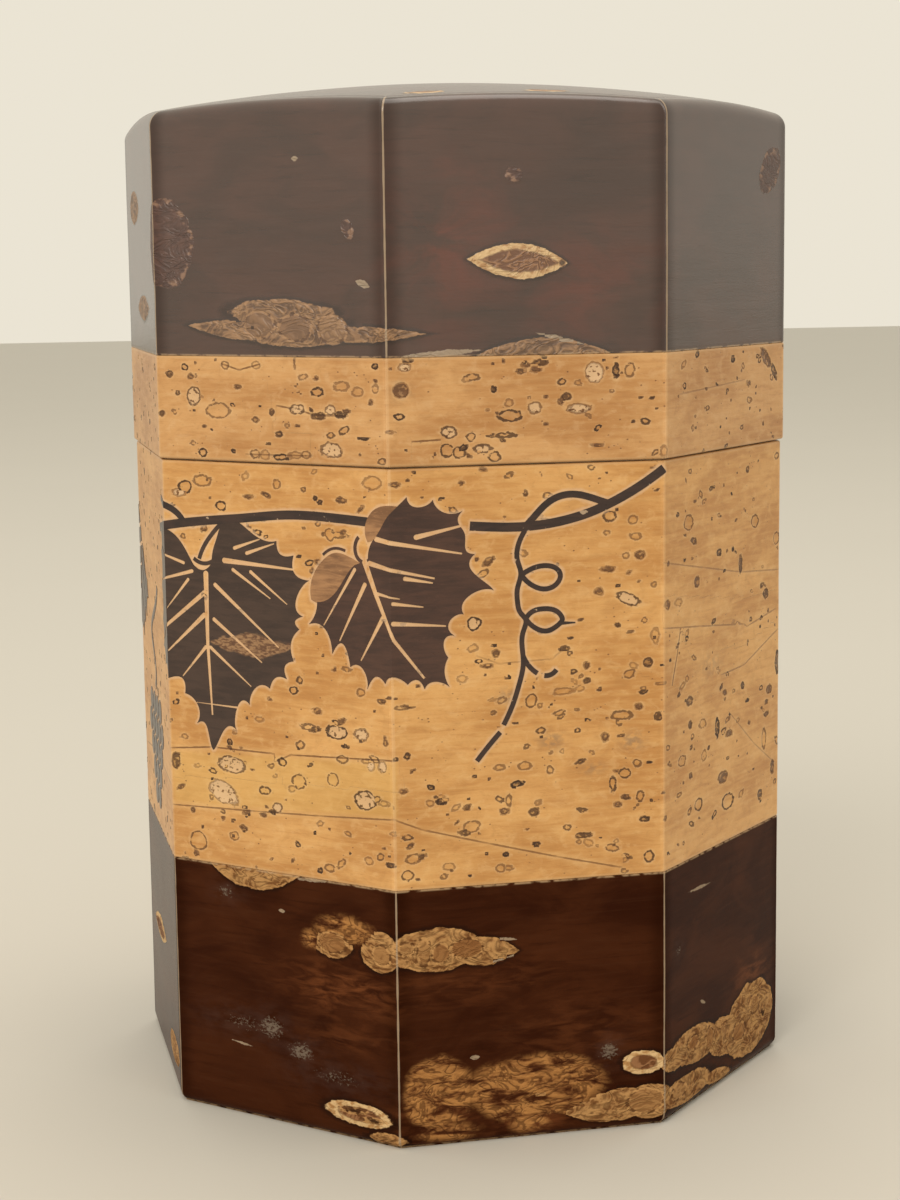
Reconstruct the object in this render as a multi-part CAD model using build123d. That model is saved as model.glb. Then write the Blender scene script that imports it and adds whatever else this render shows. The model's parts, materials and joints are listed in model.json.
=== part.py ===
from build123d import *
import math
import os

# Octagonal tea caddy: a mitred wooden core under thin cherry-bark skins. An inner sleeve lines the
# body and stands up above the seam as a collar, which the outer lid slides over. An inner lid with a
# turned knob closes the collar. A vine, leaves, a tendril and a bunch of grapes are inlaid in the
# light bark.
#
# Frame: the origin is the centre of the base, on the surface that the caddy stands on, with +Z up.
# The front side faces -Y. Sides are numbered anticlockwise seen from above, and the front is side 0.
# All sizes are in millimetres.

# ---- Overall sizes ----
SIDES = 8
BODY_FLATS = 75.4  # across flats over the body's bark
LID_OVERHANG = 0.3  # how far the lid stands out past the body on each side
SEAM_HEIGHT = 77.0  # where the lid meets the body
LID_SIDE_HEIGHT = 39.5  # from the seam to the lid's top edge at the middle of a side
DOME_RISE = 3.5  # from that edge to the top of the dome

# ---- Bark skins ----
BARK = 0.6
DARK_BAND_HEIGHT = 30.0  # dark bark round the foot of the body
LID_STRIP_HEIGHT = 11.8  # light bark round the lid's lower edge
BASE_EDGE_RADIUS = 1.2
SHOULDER_RADIUS = 1.8
TOP_PANEL_SETBACK = 2.3  # from the lid's side to the edge of the bark on its dome
SEAM_SETBACK = 0.1  # each bark edge stops this far short of the seam

# ---- Wooden core ----
BODY_WALL = 2.8
BASE_THICKNESS = 3.5
TOP_BOARD_EDGE = 4.1  # thickness of the lid's top board at the middle of a side

# ---- Inner sleeve and its fit in the lid ----
SLEEVE_WALL = 1.8
SLEEVE_BARK = 0.4
COLLAR_CLEARANCE = 0.15  # between the collar and the lid's wall, each side

# ---- Inner lid ----
PLUG_DEPTH = 6.0
PLUG_CLEARANCE = 0.2  # between the plug and the sleeve, each side
PLATE_THICKNESS = 2.0
PLATE_SETBACK = 0.2  # from the collar's outside to the plate's edge
PLATE_BARK = 0.5
KNOB_HEIGHT = 8.0
KNOB_HEADROOM = 5.5  # from the knob's top to the lid's ceiling
KNOB_HEAD_RADIUS = 5.5
KNOB_WAIST_RADIUS = 2.9
KNOB_FOOT_RADIUS = 4.2
KNOB_FOOT_HEIGHT = 1.0
KNOB_WAIST_SHARE = 0.4  # the waist's height, as a share of the knob's
KNOB_HEAD_SHARE = 0.68  # the height of the widest part, as a share of the knob's
TENON_RADIUS = 2.0
TENON_DEPTH_IN_PLUG = 2.5
TENON_CLEARANCE = 0.05

# ---- Inlays ----
INLAY_DEPTH = 0.35  # depth of the pockets in the light bark
INLAY_PROUD = 0.05  # how far an inlay stands above the bark
VINE_WIDTH = 1.0
TWIG_WIDTH = 0.75
TENDRIL_WIDTH = 0.55
STALK_WIDTH = 0.9  # the stalk of the bunch of grapes
VEIN_TIP_SHARE = 0.35  # a vein's width at its tip, as a share of its width at the root
BERRY_RADIUS = 1.5
BERRY_PITCH = 3.25
BERRY_ROWS = (4, 5, 4, 3, 2)  # berries in each row of the bunch, from the top

# The drawing of the inlays was made for a panel of this size, and is stretched to the real one.
DRAWN_SIDE = 31.23
DRAWN_BOTTOM = 30.0
DRAWN_TOP = 77.0

# ---- Worked-out sizes ----
SIDE_TO_FLATS = math.tan(math.pi / SIDES)
BODY_SIDE = BODY_FLATS * SIDE_TO_FLATS
BODY_CORE_FLATS = BODY_FLATS - 2 * BARK
LID_FLATS = BODY_FLATS + 2 * LID_OVERHANG
LID_CORE_FLATS = LID_FLATS - 2 * BARK
COLLAR_FLATS = BODY_CORE_FLATS - 2 * BODY_WALL
SLEEVE_CORE_FLATS = COLLAR_FLATS - 2 * SLEEVE_BARK
SLEEVE_INSIDE_FLATS = SLEEVE_CORE_FLATS - 2 * SLEEVE_WALL
LID_INSIDE_FLATS = COLLAR_FLATS + 2 * COLLAR_CLEARANCE
PLUG_FLATS = SLEEVE_INSIDE_FLATS - 2 * PLUG_CLEARANCE
PLATE_FLATS = COLLAR_FLATS - 2 * PLATE_SETBACK

BASE_BOARD_TOP = BARK + BASE_THICKNESS
LID_EDGE_HEIGHT = SEAM_HEIGHT + LID_SIDE_HEIGHT
CEILING_HEIGHT = LID_EDGE_HEIGHT - TOP_BOARD_EDGE
STRIP_TOP = SEAM_HEIGHT + LID_STRIP_HEIGHT
KNOB_SEAT = CEILING_HEIGHT - KNOB_HEADROOM - KNOB_HEIGHT
PLATE_TOP = KNOB_SEAT - PLATE_BARK
COLLAR_TOP = PLATE_TOP - PLATE_THICKNESS
HALF_LID = LID_FLATS / 2
DOME_RADIUS = (HALF_LID**2 + DOME_RISE**2) / (2 * DOME_RISE)
DOME_TOP = LID_EDGE_HEIGHT + DOME_RISE


# ---- Plain building blocks ----
def octagon(flats):
    """An octagon with flats on the X and Y axes."""
    return RegularPolygon(flats / 2, SIDES, major_radius=False, rotation=180 / SIDES)


def prism(flats, bottom, top):
    """A solid octagonal prism between two heights."""
    return Pos(0, 0, bottom) * extrude(octagon(flats), top - bottom)


def tube(outer_flats, inner_flats, bottom, top):
    """An octagonal tube between two heights."""
    return prism(outer_flats, bottom, top) - prism(inner_flats, bottom, top)


def side_angle(side):
    """The direction that a side of the octagon faces, in degrees from +X."""
    return -90 + 360 / SIDES * side


def mitred_board(side, outer_flats, inner_flats, bottom, top):
    """A wall board of one side, its ends cut on the planes through the corners and the axis."""
    outer_half = outer_flats * SIDE_TO_FLATS / 2
    inner_half = inner_flats * SIDE_TO_FLATS / 2
    plan = Polygon(
        (outer_flats / 2, -outer_half),
        (outer_flats / 2, outer_half),
        (inner_flats / 2, inner_half),
        (inner_flats / 2, -inner_half),
        align=None,
    )
    return Rot(0, 0, side_angle(side)) * Pos(0, 0, bottom) * extrude(plan, top - bottom)


def domed_block(inset, bottom):
    """The lid's outer shape, or the same shape set in by a skin's thickness."""
    ball = Pos(0, 0, DOME_TOP - DOME_RADIUS) * Sphere(DOME_RADIUS - inset)
    block = prism(LID_FLATS - 2 * inset, bottom, DOME_TOP) & ball
    rim = block.faces().sort_by(Axis.Z)[-1].edges()
    return fillet(rim, SHOULDER_RADIUS - inset)


# ---- Wooden core ----
def base_board():
    return prism(COLLAR_FLATS, BARK, BASE_BOARD_TOP)


def body_stave(side):
    return mitred_board(side, BODY_CORE_FLATS, COLLAR_FLATS, BARK, SEAM_HEIGHT)


def sleeve_stave(side):
    return mitred_board(side, SLEEVE_CORE_FLATS, SLEEVE_INSIDE_FLATS, BASE_BOARD_TOP, COLLAR_TOP)


def lid_stave(side):
    return mitred_board(side, LID_CORE_FLATS, LID_INSIDE_FLATS, SEAM_HEIGHT, CEILING_HEIGHT)


def lid_top_board():
    return domed_block(BARK, CEILING_HEIGHT)


# ---- Bark skins ----
def body_skin_block():
    """The body's outer shape with its rounded base edge."""
    block = prism(BODY_FLATS, 0, SEAM_HEIGHT - SEAM_SETBACK)
    rim = block.faces().sort_by(Axis.Z)[0].edges()
    return fillet(rim, BASE_EDGE_RADIUS)


def base_bark():
    return prism(BODY_FLATS - 2 * BASE_EDGE_RADIUS, 0, BARK)


def body_bark_dark():
    """The lower skin, which turns under the base edge as far as the base bark."""
    band = body_skin_block() & prism(BODY_FLATS, 0, DARK_BAND_HEIGHT)
    return band - prism(BODY_CORE_FLATS, BARK, DARK_BAND_HEIGHT) - base_bark()


def body_bark_light(pockets):
    """The upper skin with a pocket for every inlay."""
    return tube(BODY_FLATS, BODY_CORE_FLATS, DARK_BAND_HEIGHT, SEAM_HEIGHT - SEAM_SETBACK) - pockets


def sleeve_bark():
    return tube(COLLAR_FLATS, SLEEVE_CORE_FLATS, BASE_BOARD_TOP, COLLAR_TOP)


def lid_skins():
    """The lid's three skins: the light strip, the dark side with its shoulder, and the dome."""
    bottom = SEAM_HEIGHT + SEAM_SETBACK
    skin = domed_block(0, bottom) - domed_block(BARK, bottom)
    strip = skin & prism(LID_FLATS, bottom, STRIP_TOP)
    panel_shape = prism(LID_FLATS - 2 * TOP_PANEL_SETBACK, STRIP_TOP, DOME_TOP)
    panel = skin & panel_shape
    side = skin & prism(LID_FLATS, STRIP_TOP, DOME_TOP) - panel_shape
    return strip, side, panel


# ---- Inner lid ----
def tenon_bore(bottom, top):
    return Pos(0, 0, bottom) * extrude(Circle(TENON_RADIUS + TENON_CLEARANCE), top - bottom)


def inner_lid_plug():
    plug = prism(PLUG_FLATS, COLLAR_TOP - PLUG_DEPTH, COLLAR_TOP)
    return plug - tenon_bore(COLLAR_TOP - TENON_DEPTH_IN_PLUG, COLLAR_TOP)


def inner_lid_plate():
    return prism(PLATE_FLATS, COLLAR_TOP, PLATE_TOP) - tenon_bore(COLLAR_TOP, PLATE_TOP)


def inner_lid_bark():
    return prism(PLATE_FLATS, PLATE_TOP, KNOB_SEAT) - tenon_bore(PLATE_TOP, KNOB_SEAT)


def inner_lid_knob():
    """A turned knob: a foot, a waist and a rounded head, on a tenon let into the plug."""
    waist_height = KNOB_SEAT + KNOB_HEIGHT * KNOB_WAIST_SHARE
    head_height = KNOB_SEAT + KNOB_HEIGHT * KNOB_HEAD_SHARE
    knob_top = KNOB_SEAT + KNOB_HEIGHT
    foot_top = KNOB_SEAT + KNOB_FOOT_HEIGHT
    tenon_bottom = COLLAR_TOP - TENON_DEPTH_IN_PLUG
    side = Spline(
        (KNOB_FOOT_RADIUS, foot_top),
        (KNOB_WAIST_RADIUS, waist_height),
        (KNOB_HEAD_RADIUS, head_height),
        (0, knob_top),
        tangents=((-1, 0.4), (0, 1), (0, 1), (-1, 0)),
    )
    outline = side + Polyline(
        (0, knob_top),
        (0, tenon_bottom),
        (TENON_RADIUS, tenon_bottom),
        (TENON_RADIUS, KNOB_SEAT),
        (KNOB_FOOT_RADIUS, KNOB_SEAT),
        (KNOB_FOOT_RADIUS, foot_top),
    )
    return revolve(Plane.XZ * make_face(outline), Axis.Z)


# ---- Inlay drawing ----
# The inlays are drawn flat, unrolled round the body: x runs right from a side's left corner and y is
# the height. A drawing may run past its side's corners, and then it wraps round them.
LEFT = -1  # the side left of the front
FAR_LEFT = -2


def on_body(points, side=0):
    """Drawn points moved to their side and stretched to the real panel."""
    across = BODY_SIDE / DRAWN_SIDE
    up = (SEAM_HEIGHT - DARK_BAND_HEIGHT) / (DRAWN_TOP - DRAWN_BOTTOM)
    return [
        (side * BODY_SIDE + x * across, DARK_BAND_HEIGHT + (y - DRAWN_BOTTOM) * up)
        for x, y in points
    ]


def toothed(teeth, side=0):
    """A closed shape. Each tooth is its tip and the points its edge passes on the way to the next."""
    edges = Curve()
    for tooth, following in zip(teeth, teeth[1:] + teeth[:1]):
        edges += Spline(*on_body((*tooth, following[0]), side))
    return make_face(edges)


def ribbon(points, width, side=0):
    """A stem of even width along a smooth line."""
    return trace(Spline(*on_body(points, side)), line_width=width)


def vein(points, width, side=0):
    """A gouged slot with a round root, at its first point, that narrows to its last point."""
    line = on_body(points, side)
    left = []
    right = []
    for index, (x, y) in enumerate(line):
        before = line[max(index - 1, 0)]
        after = line[min(index + 1, len(line) - 1)]
        run_x = after[0] - before[0]
        run_y = after[1] - before[1]
        length = math.hypot(run_x, run_y)
        share = index / (len(line) - 1)
        half = width / 2 * (1 - share * (1 - VEIN_TIP_SHARE))
        left.append((x - run_y / length * half, y + run_x / length * half))
        right.append((x + run_y / length * half, y - run_x / length * half))
    return Polygon(*left, *reversed(right), align=None) + Pos(*line[0]) * Circle(width / 2)


# The left leaf, round from the foot of its right lobe.
LEAF_LEFT = (
    ((6.8, 65.3), (7.0, 66.7), (7.6, 68.2), (8.8, 70.2), (10.3, 70.3), (12.3, 69.2), (14.2, 68.3)),
    ((16.0, 68.3), (16.3, 67.0)),
    ((18.3, 66.8), (18.3, 64.9)),
    ((20.4, 64.1), (18.7, 62.3), (18.5, 60.7)),
    ((19.4, 60.0), (18.3, 59.2)),
    ((18.9, 58.5), (17.8, 57.2)),
    ((18.0, 54.8), (16.8, 54.2)),
    ((17.0, 52.7), (15.6, 52.8)),
    ((14.6, 51.4), (13.3, 51.7), (12.2, 50.9)),
    ((11.7, 49.3), (10.7, 49.7), (9.8, 48.6)),
    ((9.7, 46.2), (8.6, 46.5), (7.7, 45.7)),
    ((6.3, 43.5), (5.7, 45.3), (5.1, 46.6)),
    ((4.0, 46.4), (4.3, 48.4), (3.6, 49.3)),
    ((2.4, 49.8), (2.2, 51.4)),
    ((0.0, 51.4), (-1.2, 52.9)),
    ((-2.6, 52.6), (-2.7, 54.2)),
    ((-4.0, 54.6), (-3.2, 56.2)),
    ((-4.2, 57.8), (-3.2, 59.5)),
    ((-4.0, 61.8), (-3.0, 63.6)),
    ((-3.7, 66.0), (-2.7, 66.9)),
    ((-3.0, 68.2), (-1.5, 69.2), (0.0, 69.0), (1.5, 68.3), (3.2, 66.4)),
    ((4.1, 65.0), (5.4, 64.4)),
)
LEAF_LEFT_VEINS = (
    (((5.9, 64.0), (5.9, 56.0), (6.3, 47.6)), 0.75),
    (((7.2, 62.8), (16.0, 56.2)), 0.55),
    (((6.9, 58.8), (13.6, 54.3)), 0.5),
    (((6.3, 55.5), (12.0, 51.4)), 0.45),
    (((9.8, 64.7), (15.0, 61.7)), 0.45),
    (((12.3, 64.6), (17.3, 61.2)), 0.45),
    (((8.6, 65.7), (18.4, 65.2)), 0.65),
    (((10.1, 67.2), (13.7, 68.4)), 0.45),
    (((11.8, 66.7), (15.7, 68.0)), 0.45),
    (((5.6, 61.8), (0.0, 57.7), (-3.0, 55.6)), 0.6),
    (((5.5, 59.2), (0.0, 54.6)), 0.6),
    (((5.6, 55.5), (2.1, 51.8)), 0.45),
    (((3.9, 64.2), (0.0, 63.2), (-3.2, 62.6)), 0.45),
    (((3.3, 63.2), (0.0, 59.6)), 0.4),
    (((2.7, 65.1), (-2.6, 66.6)), 0.4),
)
LEAF_LEFT_CREASE = (((9.9, 48.8), (4.0, 48.9)), 0.25)
LEAF_LEFT_STALK_EDGE = (((8.5, 70.1), (7.1, 68.8), (5.9, 67.4), (5.0, 65.7)), 0.5)
LEAF_LEFT_SOCKET = (((4.2, 65.7), (5.4, 65.2), (6.9, 65.5)), 0.45)

# The right leaf, round from the foot of its upper lobe. It crosses the front's left corner.
LEAF_RIGHT = (
    ((-2.0, 69.3), (-1.3, 70.2), (-0.3, 71.7), (0.5, 72.5)),
    ((1.9, 73.8), (2.5, 72.8), (3.7, 72.7)),
    ((4.8, 73.4), (5.6, 72.2), (6.8, 71.8)),
    ((8.1, 72.1), (7.6, 70.8), (8.3, 69.6), (8.4, 67.8)),
    ((9.4, 67.3), (8.8, 66.0), (9.7, 64.8)),
    ((11.5, 63.2), (8.7, 62.7), (7.9, 61.6)),
    ((8.1, 60.7), (7.0, 60.5), (6.4, 59.8)),
    ((7.0, 58.4), (5.9, 58.0), (5.8, 57.1)),
    ((6.3, 56.0), (5.9, 55.0)),
    ((6.4, 52.7), (5.3, 53.3), (4.3, 53.3)),
    ((3.6, 52.6), (2.6, 53.7)),
    ((1.7, 53.2), (0.8, 53.9), (-0.1, 54.1)),
    ((-0.9, 53.3), (-1.8, 54.0)),
    ((-3.3, 52.5), (-3.5, 54.2), (-4.2, 55.0)),
    ((-5.5, 54.8), (-5.8, 56.2), (-6.3, 57.2)),
    ((-7.9, 56.1), (-8.2, 57.8), (-8.8, 58.8)),
    ((-11.0, 59.2), (-10.2, 60.2)),
    ((-9.8, 61.8), (-8.7, 62.0), (-7.4, 62.9), (-6.3, 64.3)),
    ((-4.7, 66.2), (-3.9, 66.5)),
    ((-2.9, 67.0), (-2.7, 68.2)),
)
LEAF_RIGHT_VEINS = (
    (((-3.5, 67.0), (-2.0, 63.2), (0.2, 58.2), (3.6, 53.8)), 0.75),
    (((-4.7, 65.7), (-9.0, 59.2)), 0.45),
    (((-3.4, 64.1), (-6.9, 57.6)), 0.55),
    (((-1.1, 60.6), (-4.1, 55.6)), 0.55),
    (((-1.8, 69.2), (8.0, 67.4)), 0.6),
    (((2.9, 69.4), (8.6, 70.6)), 0.6),
    (((-2.7, 66.5), (4.9, 64.8)), 0.6),
    (((1.6, 64.9), (4.7, 64.3)), 0.5),
    (((-1.7, 63.2), (1.0, 62.7)), 0.4),
    (((0.2, 62.2), (3.6, 61.7)), 0.45),
    (((0.2, 60.0), (6.1, 59.5)), 0.55),
)
LEAF_RIGHT_STALK_EDGE = (((-4.1, 69.3), (-4.6, 68.2), (-4.4, 67.2), (-3.7, 66.6)), 0.4)

# Two lobes of paler bark beside the right leaf: one folded at its left, one behind its top.
LEAF_FOLD = (
    ((-10.6, 62.0), (-10.6, 63.8), (-8.8, 66.6), (-7.3, 67.4), (-5.8, 67.2)),
    ((-3.9, 66.4), (-6.0, 63.6), (-8.0, 61.8)),
)
LEAF_FOLD_RIM = (((-8.9, 67.1), (-7.4, 67.9), (-5.9, 67.7)), 0.3)
LEAF_LOBE = (
    ((-2.9, 68.8), (-3.0, 71.2), (-2.0, 72.4), (-0.4, 72.9)),
    ((0.9, 72.8), (-0.4, 70.4)),
)

# The leaf at the far corner is a smaller copy of the right one.
LEAF_BACK_SCALE = 0.85
LEAF_BACK_MIDDLE = 61.0
LEAF_RIGHT_MIDDLE = 63.0

VINE_LEFT = (
    (-4.5, 68.6), (0, 69.3), (3.3, 69.8), (6.7, 70.2), (11.7, 70.7), (17.5, 71.3), (23, 71.3),
    (28.8, 71.0),
)
TWIG_LEFT = ((2.9, 69.8), (1.7, 71.0), (0, 71.7), (-2.5, 72.3))
VINE_RIGHT = (
    (8.9, 70.4), (11.4, 70.2), (14.8, 70.1), (19.9, 70.7), (22.5, 71.4), (25, 72.4), (28.9, 74.5),
    (31.1, 76.0),
)
BRANCH = (
    (15.1, 70.1), (16.2, 71.2), (17.4, 72.4), (18.5, 73.1), (20.3, 73.5), (22.5, 73.1), (24.8, 72.3),
)
TENDRIL = (
    (15.4, 70.1), (14.7, 69.0), (14.3, 68.0), (14.2, 66.5), (14.6, 65.0), (14.2, 63.3),
    (14.2, 61.7), (14.5, 60.6), (15.1, 59.8), (14.8, 58.4), (14.7, 56.5), (14.8, 54.9),
    (14.4, 52.9), (13.7, 50.7), (12.5, 48.1),
)
TENDRIL_END = ((12.1, 47.3), (11.0, 46.1), (9.4, 44.2))
TENDRIL_FORK = ((14.8, 55.7), (15.5, 54.5), (16.4, 53.7))
TENDRIL_FORK_TIP = ((17.2, 53.4), (18.0, 53.5), (18.6, 54.0))
# Each loop is two arcs that overlap at their ends.
UPPER_LOOP = (
    ((14.7, 64.8), (15.8, 65.4), (17.2, 65.7), (18.8, 65.2), (19.1, 64.6)),
    ((18.9, 65.1), (19.1, 64.4), (18.4, 63.4), (17.3, 63.1), (16.0, 63.5), (14.7, 64.7)),
)
LOWER_LOOP = (
    ((15.1, 59.8), (16.0, 60.7), (17.2, 60.9), (18.6, 60.6), (19.3, 59.7)),
    ((19.1, 60.1), (19.3, 59.6), (18.8, 59.0), (17.4, 58.4), (16.2, 58.8), (15.1, 59.9)),
)
LOOP_TWIG = (((19.2, 59.2), (20.8, 59.2)), 0.4)

BUNCH_TOP = (15.0, 45.2)  # centre of the bunch's first row, on the far left side
BUNCH_STALK = ((20.5, 60.6), (18.4, 58.3), (12.6, 54), (16.4, 49.6), (15.4, 47.6))


def veined_leaf(teeth, veins, side=0):
    leaf = toothed(teeth, side)
    for line, width in veins:
        leaf -= vein(line, width, side)
    return leaf


def left_leaf():
    """The left leaf with the dark edge of its stalk and the crescent that the stalk ends in."""
    leaf = veined_leaf(LEAF_LEFT, (*LEAF_LEFT_VEINS, LEAF_LEFT_CREASE), LEFT)
    return leaf + ribbon(*LEAF_LEFT_STALK_EDGE, LEFT) + ribbon(*LEAF_LEFT_SOCKET, LEFT)


def right_leaf():
    """The right leaf with the dark edge of its stalk and the rim of its folded lobe."""
    leaf = veined_leaf(LEAF_RIGHT, LEAF_RIGHT_VEINS)
    return leaf + ribbon(*LEAF_RIGHT_STALK_EDGE) + ribbon(*LEAF_FOLD_RIM)


def back_leaf():
    """A smaller copy of the right leaf on the far corner, turned the other way."""

    def turned(points):
        return tuple(
            (-x * LEAF_BACK_SCALE, LEAF_BACK_MIDDLE + (y - LEAF_RIGHT_MIDDLE) * LEAF_BACK_SCALE)
            for x, y in points
        )

    teeth = tuple(turned(tooth) for tooth in LEAF_RIGHT)
    veins = tuple((turned(line), width) for line, width in LEAF_RIGHT_VEINS)
    return veined_leaf(teeth, veins, FAR_LEFT)


def tendril():
    parts = ribbon(TENDRIL, TENDRIL_WIDTH) + ribbon(TENDRIL_END, TENDRIL_WIDTH)
    parts += ribbon(TENDRIL_FORK, TENDRIL_WIDTH) + ribbon(TENDRIL_FORK_TIP, TENDRIL_WIDTH)
    for arc in UPPER_LOOP + LOWER_LOOP:
        parts += ribbon(arc, TENDRIL_WIDTH)
    return parts + vein(*LOOP_TWIG)


def grape_bunch():
    """Rows of round berries that narrow downwards, each row set between the one above."""
    ((left, top),) = on_body([BUNCH_TOP], FAR_LEFT)
    row_drop = BERRY_PITCH * math.sin(math.pi / 3)
    berries = Sketch()
    for row, count in enumerate(BERRY_ROWS):
        for index in range(count):
            x = left + (index - (count - 1) / 2) * BERRY_PITCH
            berries += Pos(x, top - row * row_drop) * Circle(BERRY_RADIUS)
    return berries


def inlay_drawings():
    """Every inlay as a flat drawing. Where two cross, the one that lies on top cuts the other."""
    leaf_right = right_leaf()
    leaf_lobe = toothed(LEAF_LOBE) - toothed(LEAF_RIGHT)
    vine_left = ribbon(VINE_LEFT, VINE_WIDTH, LEFT) - leaf_right - leaf_lobe
    vine_right = ribbon(VINE_RIGHT, VINE_WIDTH) - leaf_right
    branch = ribbon(BRANCH, TWIG_WIDTH) - vine_right
    return {
        "leaf_left": left_leaf() - vine_left,
        "leaf_right": leaf_right,
        "leaf_fold": toothed(LEAF_FOLD) - toothed(LEAF_RIGHT),
        "leaf_lobe": leaf_lobe,
        "leaf_back": back_leaf(),
        "vine_left": vine_left,
        "vine_right": vine_right,
        "twig_left": ribbon(TWIG_LEFT, TWIG_WIDTH, LEFT) - vine_left,
        "branch": branch,
        "tendril": tendril() - vine_right - branch,
        "grape_stalk": ribbon(BUNCH_STALK, STALK_WIDTH, FAR_LEFT) - grape_bunch(),
        "grape_bunch": grape_bunch(),
    }


def side_plane(side):
    """The drawing plane on a side of the body, with its origin below the side's left corner."""
    angle = math.radians(side_angle(side))
    outward = Vector(math.cos(angle), math.sin(angle), 0)
    along = Vector(-math.sin(angle), math.cos(angle), 0)
    origin = outward * (BODY_FLATS / 2) - along * (BODY_SIDE / 2)
    return Plane(origin=origin, x_dir=along, z_dir=outward)


def wrapped(drawing, proud):
    """A flat drawing as a thin solid on the body, bent round each corner that it crosses."""
    box = drawing.bounding_box()
    first = math.floor(box.min.X / BODY_SIDE)
    last = math.floor(box.max.X / BODY_SIDE)
    outer = BODY_FLATS + 2 * proud
    inner = BODY_FLATS - 2 * INLAY_DEPTH
    pieces = []
    for side in range(first, last + 1):
        board = mitred_board(side, outer, inner, DARK_BAND_HEIGHT, SEAM_HEIGHT)
        flat = side_plane(side) * (Pos(-side * BODY_SIDE, 0) * drawing)
        pieces.append(board & extrude(flat, BARK, both=True))
    return Part() + pieces


# ---- Build and write ----
def caddy():
    """Every sub-part by node name."""
    drawings = inlay_drawings()
    pockets = Part() + [wrapped(drawing, BARK) for drawing in drawings.values()]
    strip, side_skin, dome_skin = lid_skins()
    nodes = {
        "base_bark": base_bark(),
        "base_board": base_board(),
        "body_bark_dark": body_bark_dark(),
        "body_bark_light": body_bark_light(pockets),
        "sleeve_bark": sleeve_bark(),
        "lid_top_board": lid_top_board(),
        "lid_bark_light": strip,
        "lid_bark_dark": side_skin,
        "lid_top_bark": dome_skin,
        "inner_lid_plug": inner_lid_plug(),
        "inner_lid_plate": inner_lid_plate(),
        "inner_lid_bark": inner_lid_bark(),
        "inner_lid_knob": inner_lid_knob(),
    }
    for side in range(SIDES):
        nodes[f"body_stave_{side + 1}"] = body_stave(side)
        nodes[f"sleeve_stave_{side + 1}"] = sleeve_stave(side)
        nodes[f"lid_stave_{side + 1}"] = lid_stave(side)
    for name, drawing in drawings.items():
        nodes[name] = wrapped(drawing, INLAY_PROUD)
    return nodes


os.makedirs("parts", exist_ok=True)
for name, shape in caddy().items():
    export_step(shape, f"parts/{name}.step")
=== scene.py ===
import json
import math

import bpy
import numpy as np
from mathutils import Matrix, Vector
from mathutils.bvhtree import BVHTree


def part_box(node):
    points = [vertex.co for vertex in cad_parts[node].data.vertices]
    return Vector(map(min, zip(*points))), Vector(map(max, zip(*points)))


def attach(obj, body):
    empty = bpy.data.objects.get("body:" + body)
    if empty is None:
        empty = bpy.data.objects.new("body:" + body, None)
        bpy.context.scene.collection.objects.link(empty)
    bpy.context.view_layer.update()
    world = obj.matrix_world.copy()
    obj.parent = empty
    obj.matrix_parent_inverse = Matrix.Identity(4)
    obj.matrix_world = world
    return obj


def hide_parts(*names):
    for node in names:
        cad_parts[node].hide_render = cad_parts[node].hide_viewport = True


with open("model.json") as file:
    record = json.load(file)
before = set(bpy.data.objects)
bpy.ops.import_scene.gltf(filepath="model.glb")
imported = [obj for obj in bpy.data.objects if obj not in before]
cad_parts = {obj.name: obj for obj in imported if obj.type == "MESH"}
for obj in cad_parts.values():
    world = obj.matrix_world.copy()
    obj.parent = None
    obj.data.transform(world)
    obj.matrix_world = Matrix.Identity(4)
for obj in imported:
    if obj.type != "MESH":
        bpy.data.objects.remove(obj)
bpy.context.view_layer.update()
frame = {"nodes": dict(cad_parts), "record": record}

# The skins of bark are rebuilt here as dense meshes with real relief, and they replace the plain CAD
# skins. The wooden boards, the inlays and the knob are the CAD nodes themselves with better materials.
#
# A place on a skin is given in wrap coordinates, in millimetres: s runs right round the caddy from the
# front side's left corner, and z is the height. Each side is SIDE_MM wide, so the side left of the
# front runs from -SIDE_MM to 0.

MM = 0.001
SIDES = 8
HALF_TURN = math.pi / SIDES
SIDE_TO_FLATS = math.tan(HALF_TURN)


def low_high(node):
    """A CAD node's box in millimetres."""
    low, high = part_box(node)
    return np.array(low) / MM, np.array(high) / MM


BODY_FLATS = low_high("body_bark_dark")[1][0] * 2
LID_FLATS = low_high("lid_bark_light")[1][0] * 2
FOOT_TOP = low_high("body_bark_dark")[1][2]
BODY_TOP = low_high("body_bark_light")[1][2]
LID_BOTTOM = low_high("lid_bark_light")[0][2]
STRIP_TOP = low_high("lid_bark_light")[1][2]
DOME_TOP = low_high("lid_top_bark")[1][2]
PANEL_FLATS = low_high("lid_top_bark")[1][0] * 2
SIDE_MM = BODY_FLATS * SIDE_TO_FLATS
ROUND_MM = SIDES * SIDE_MM

BARK = 0.6  # thickness of the bark
CORNER_RADIUS = 0.45
LEAST_CORNER_RADIUS = 0.15
BASE_EDGE_RADIUS = 1.2
SHOULDER_RADIUS = 1.8
DOME_RISE = 3.5
SEAM_ROUNDING = 0.25
JOINT_ROUNDING = 0.14

GRID = 0.4  # spacing of the relief meshes, in millimetres
CORNER_STEPS = 4
SHOULDER_STEPS = 14
QUARTER_TURN = np.radians(np.linspace(0, 90, 5))
END_FADE = 0.6  # relief fades this close to a skin's ends, and only sinks this close to an inlay
FAR_FROM_INLAY = 2.0  # distances to an inlay are not measured past this
FAR_OFF = 9.0  # distance given where no line or mark is near

LEFT = -SIDE_MM
RIGHT = SIDE_MM
FAR_LEFT = -2 * SIDE_MM
BACK_RIGHT = 3 * SIDE_MM
BACK = 4 * SIDE_MM
BACK_LEFT = 5 * SIDE_MM


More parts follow.
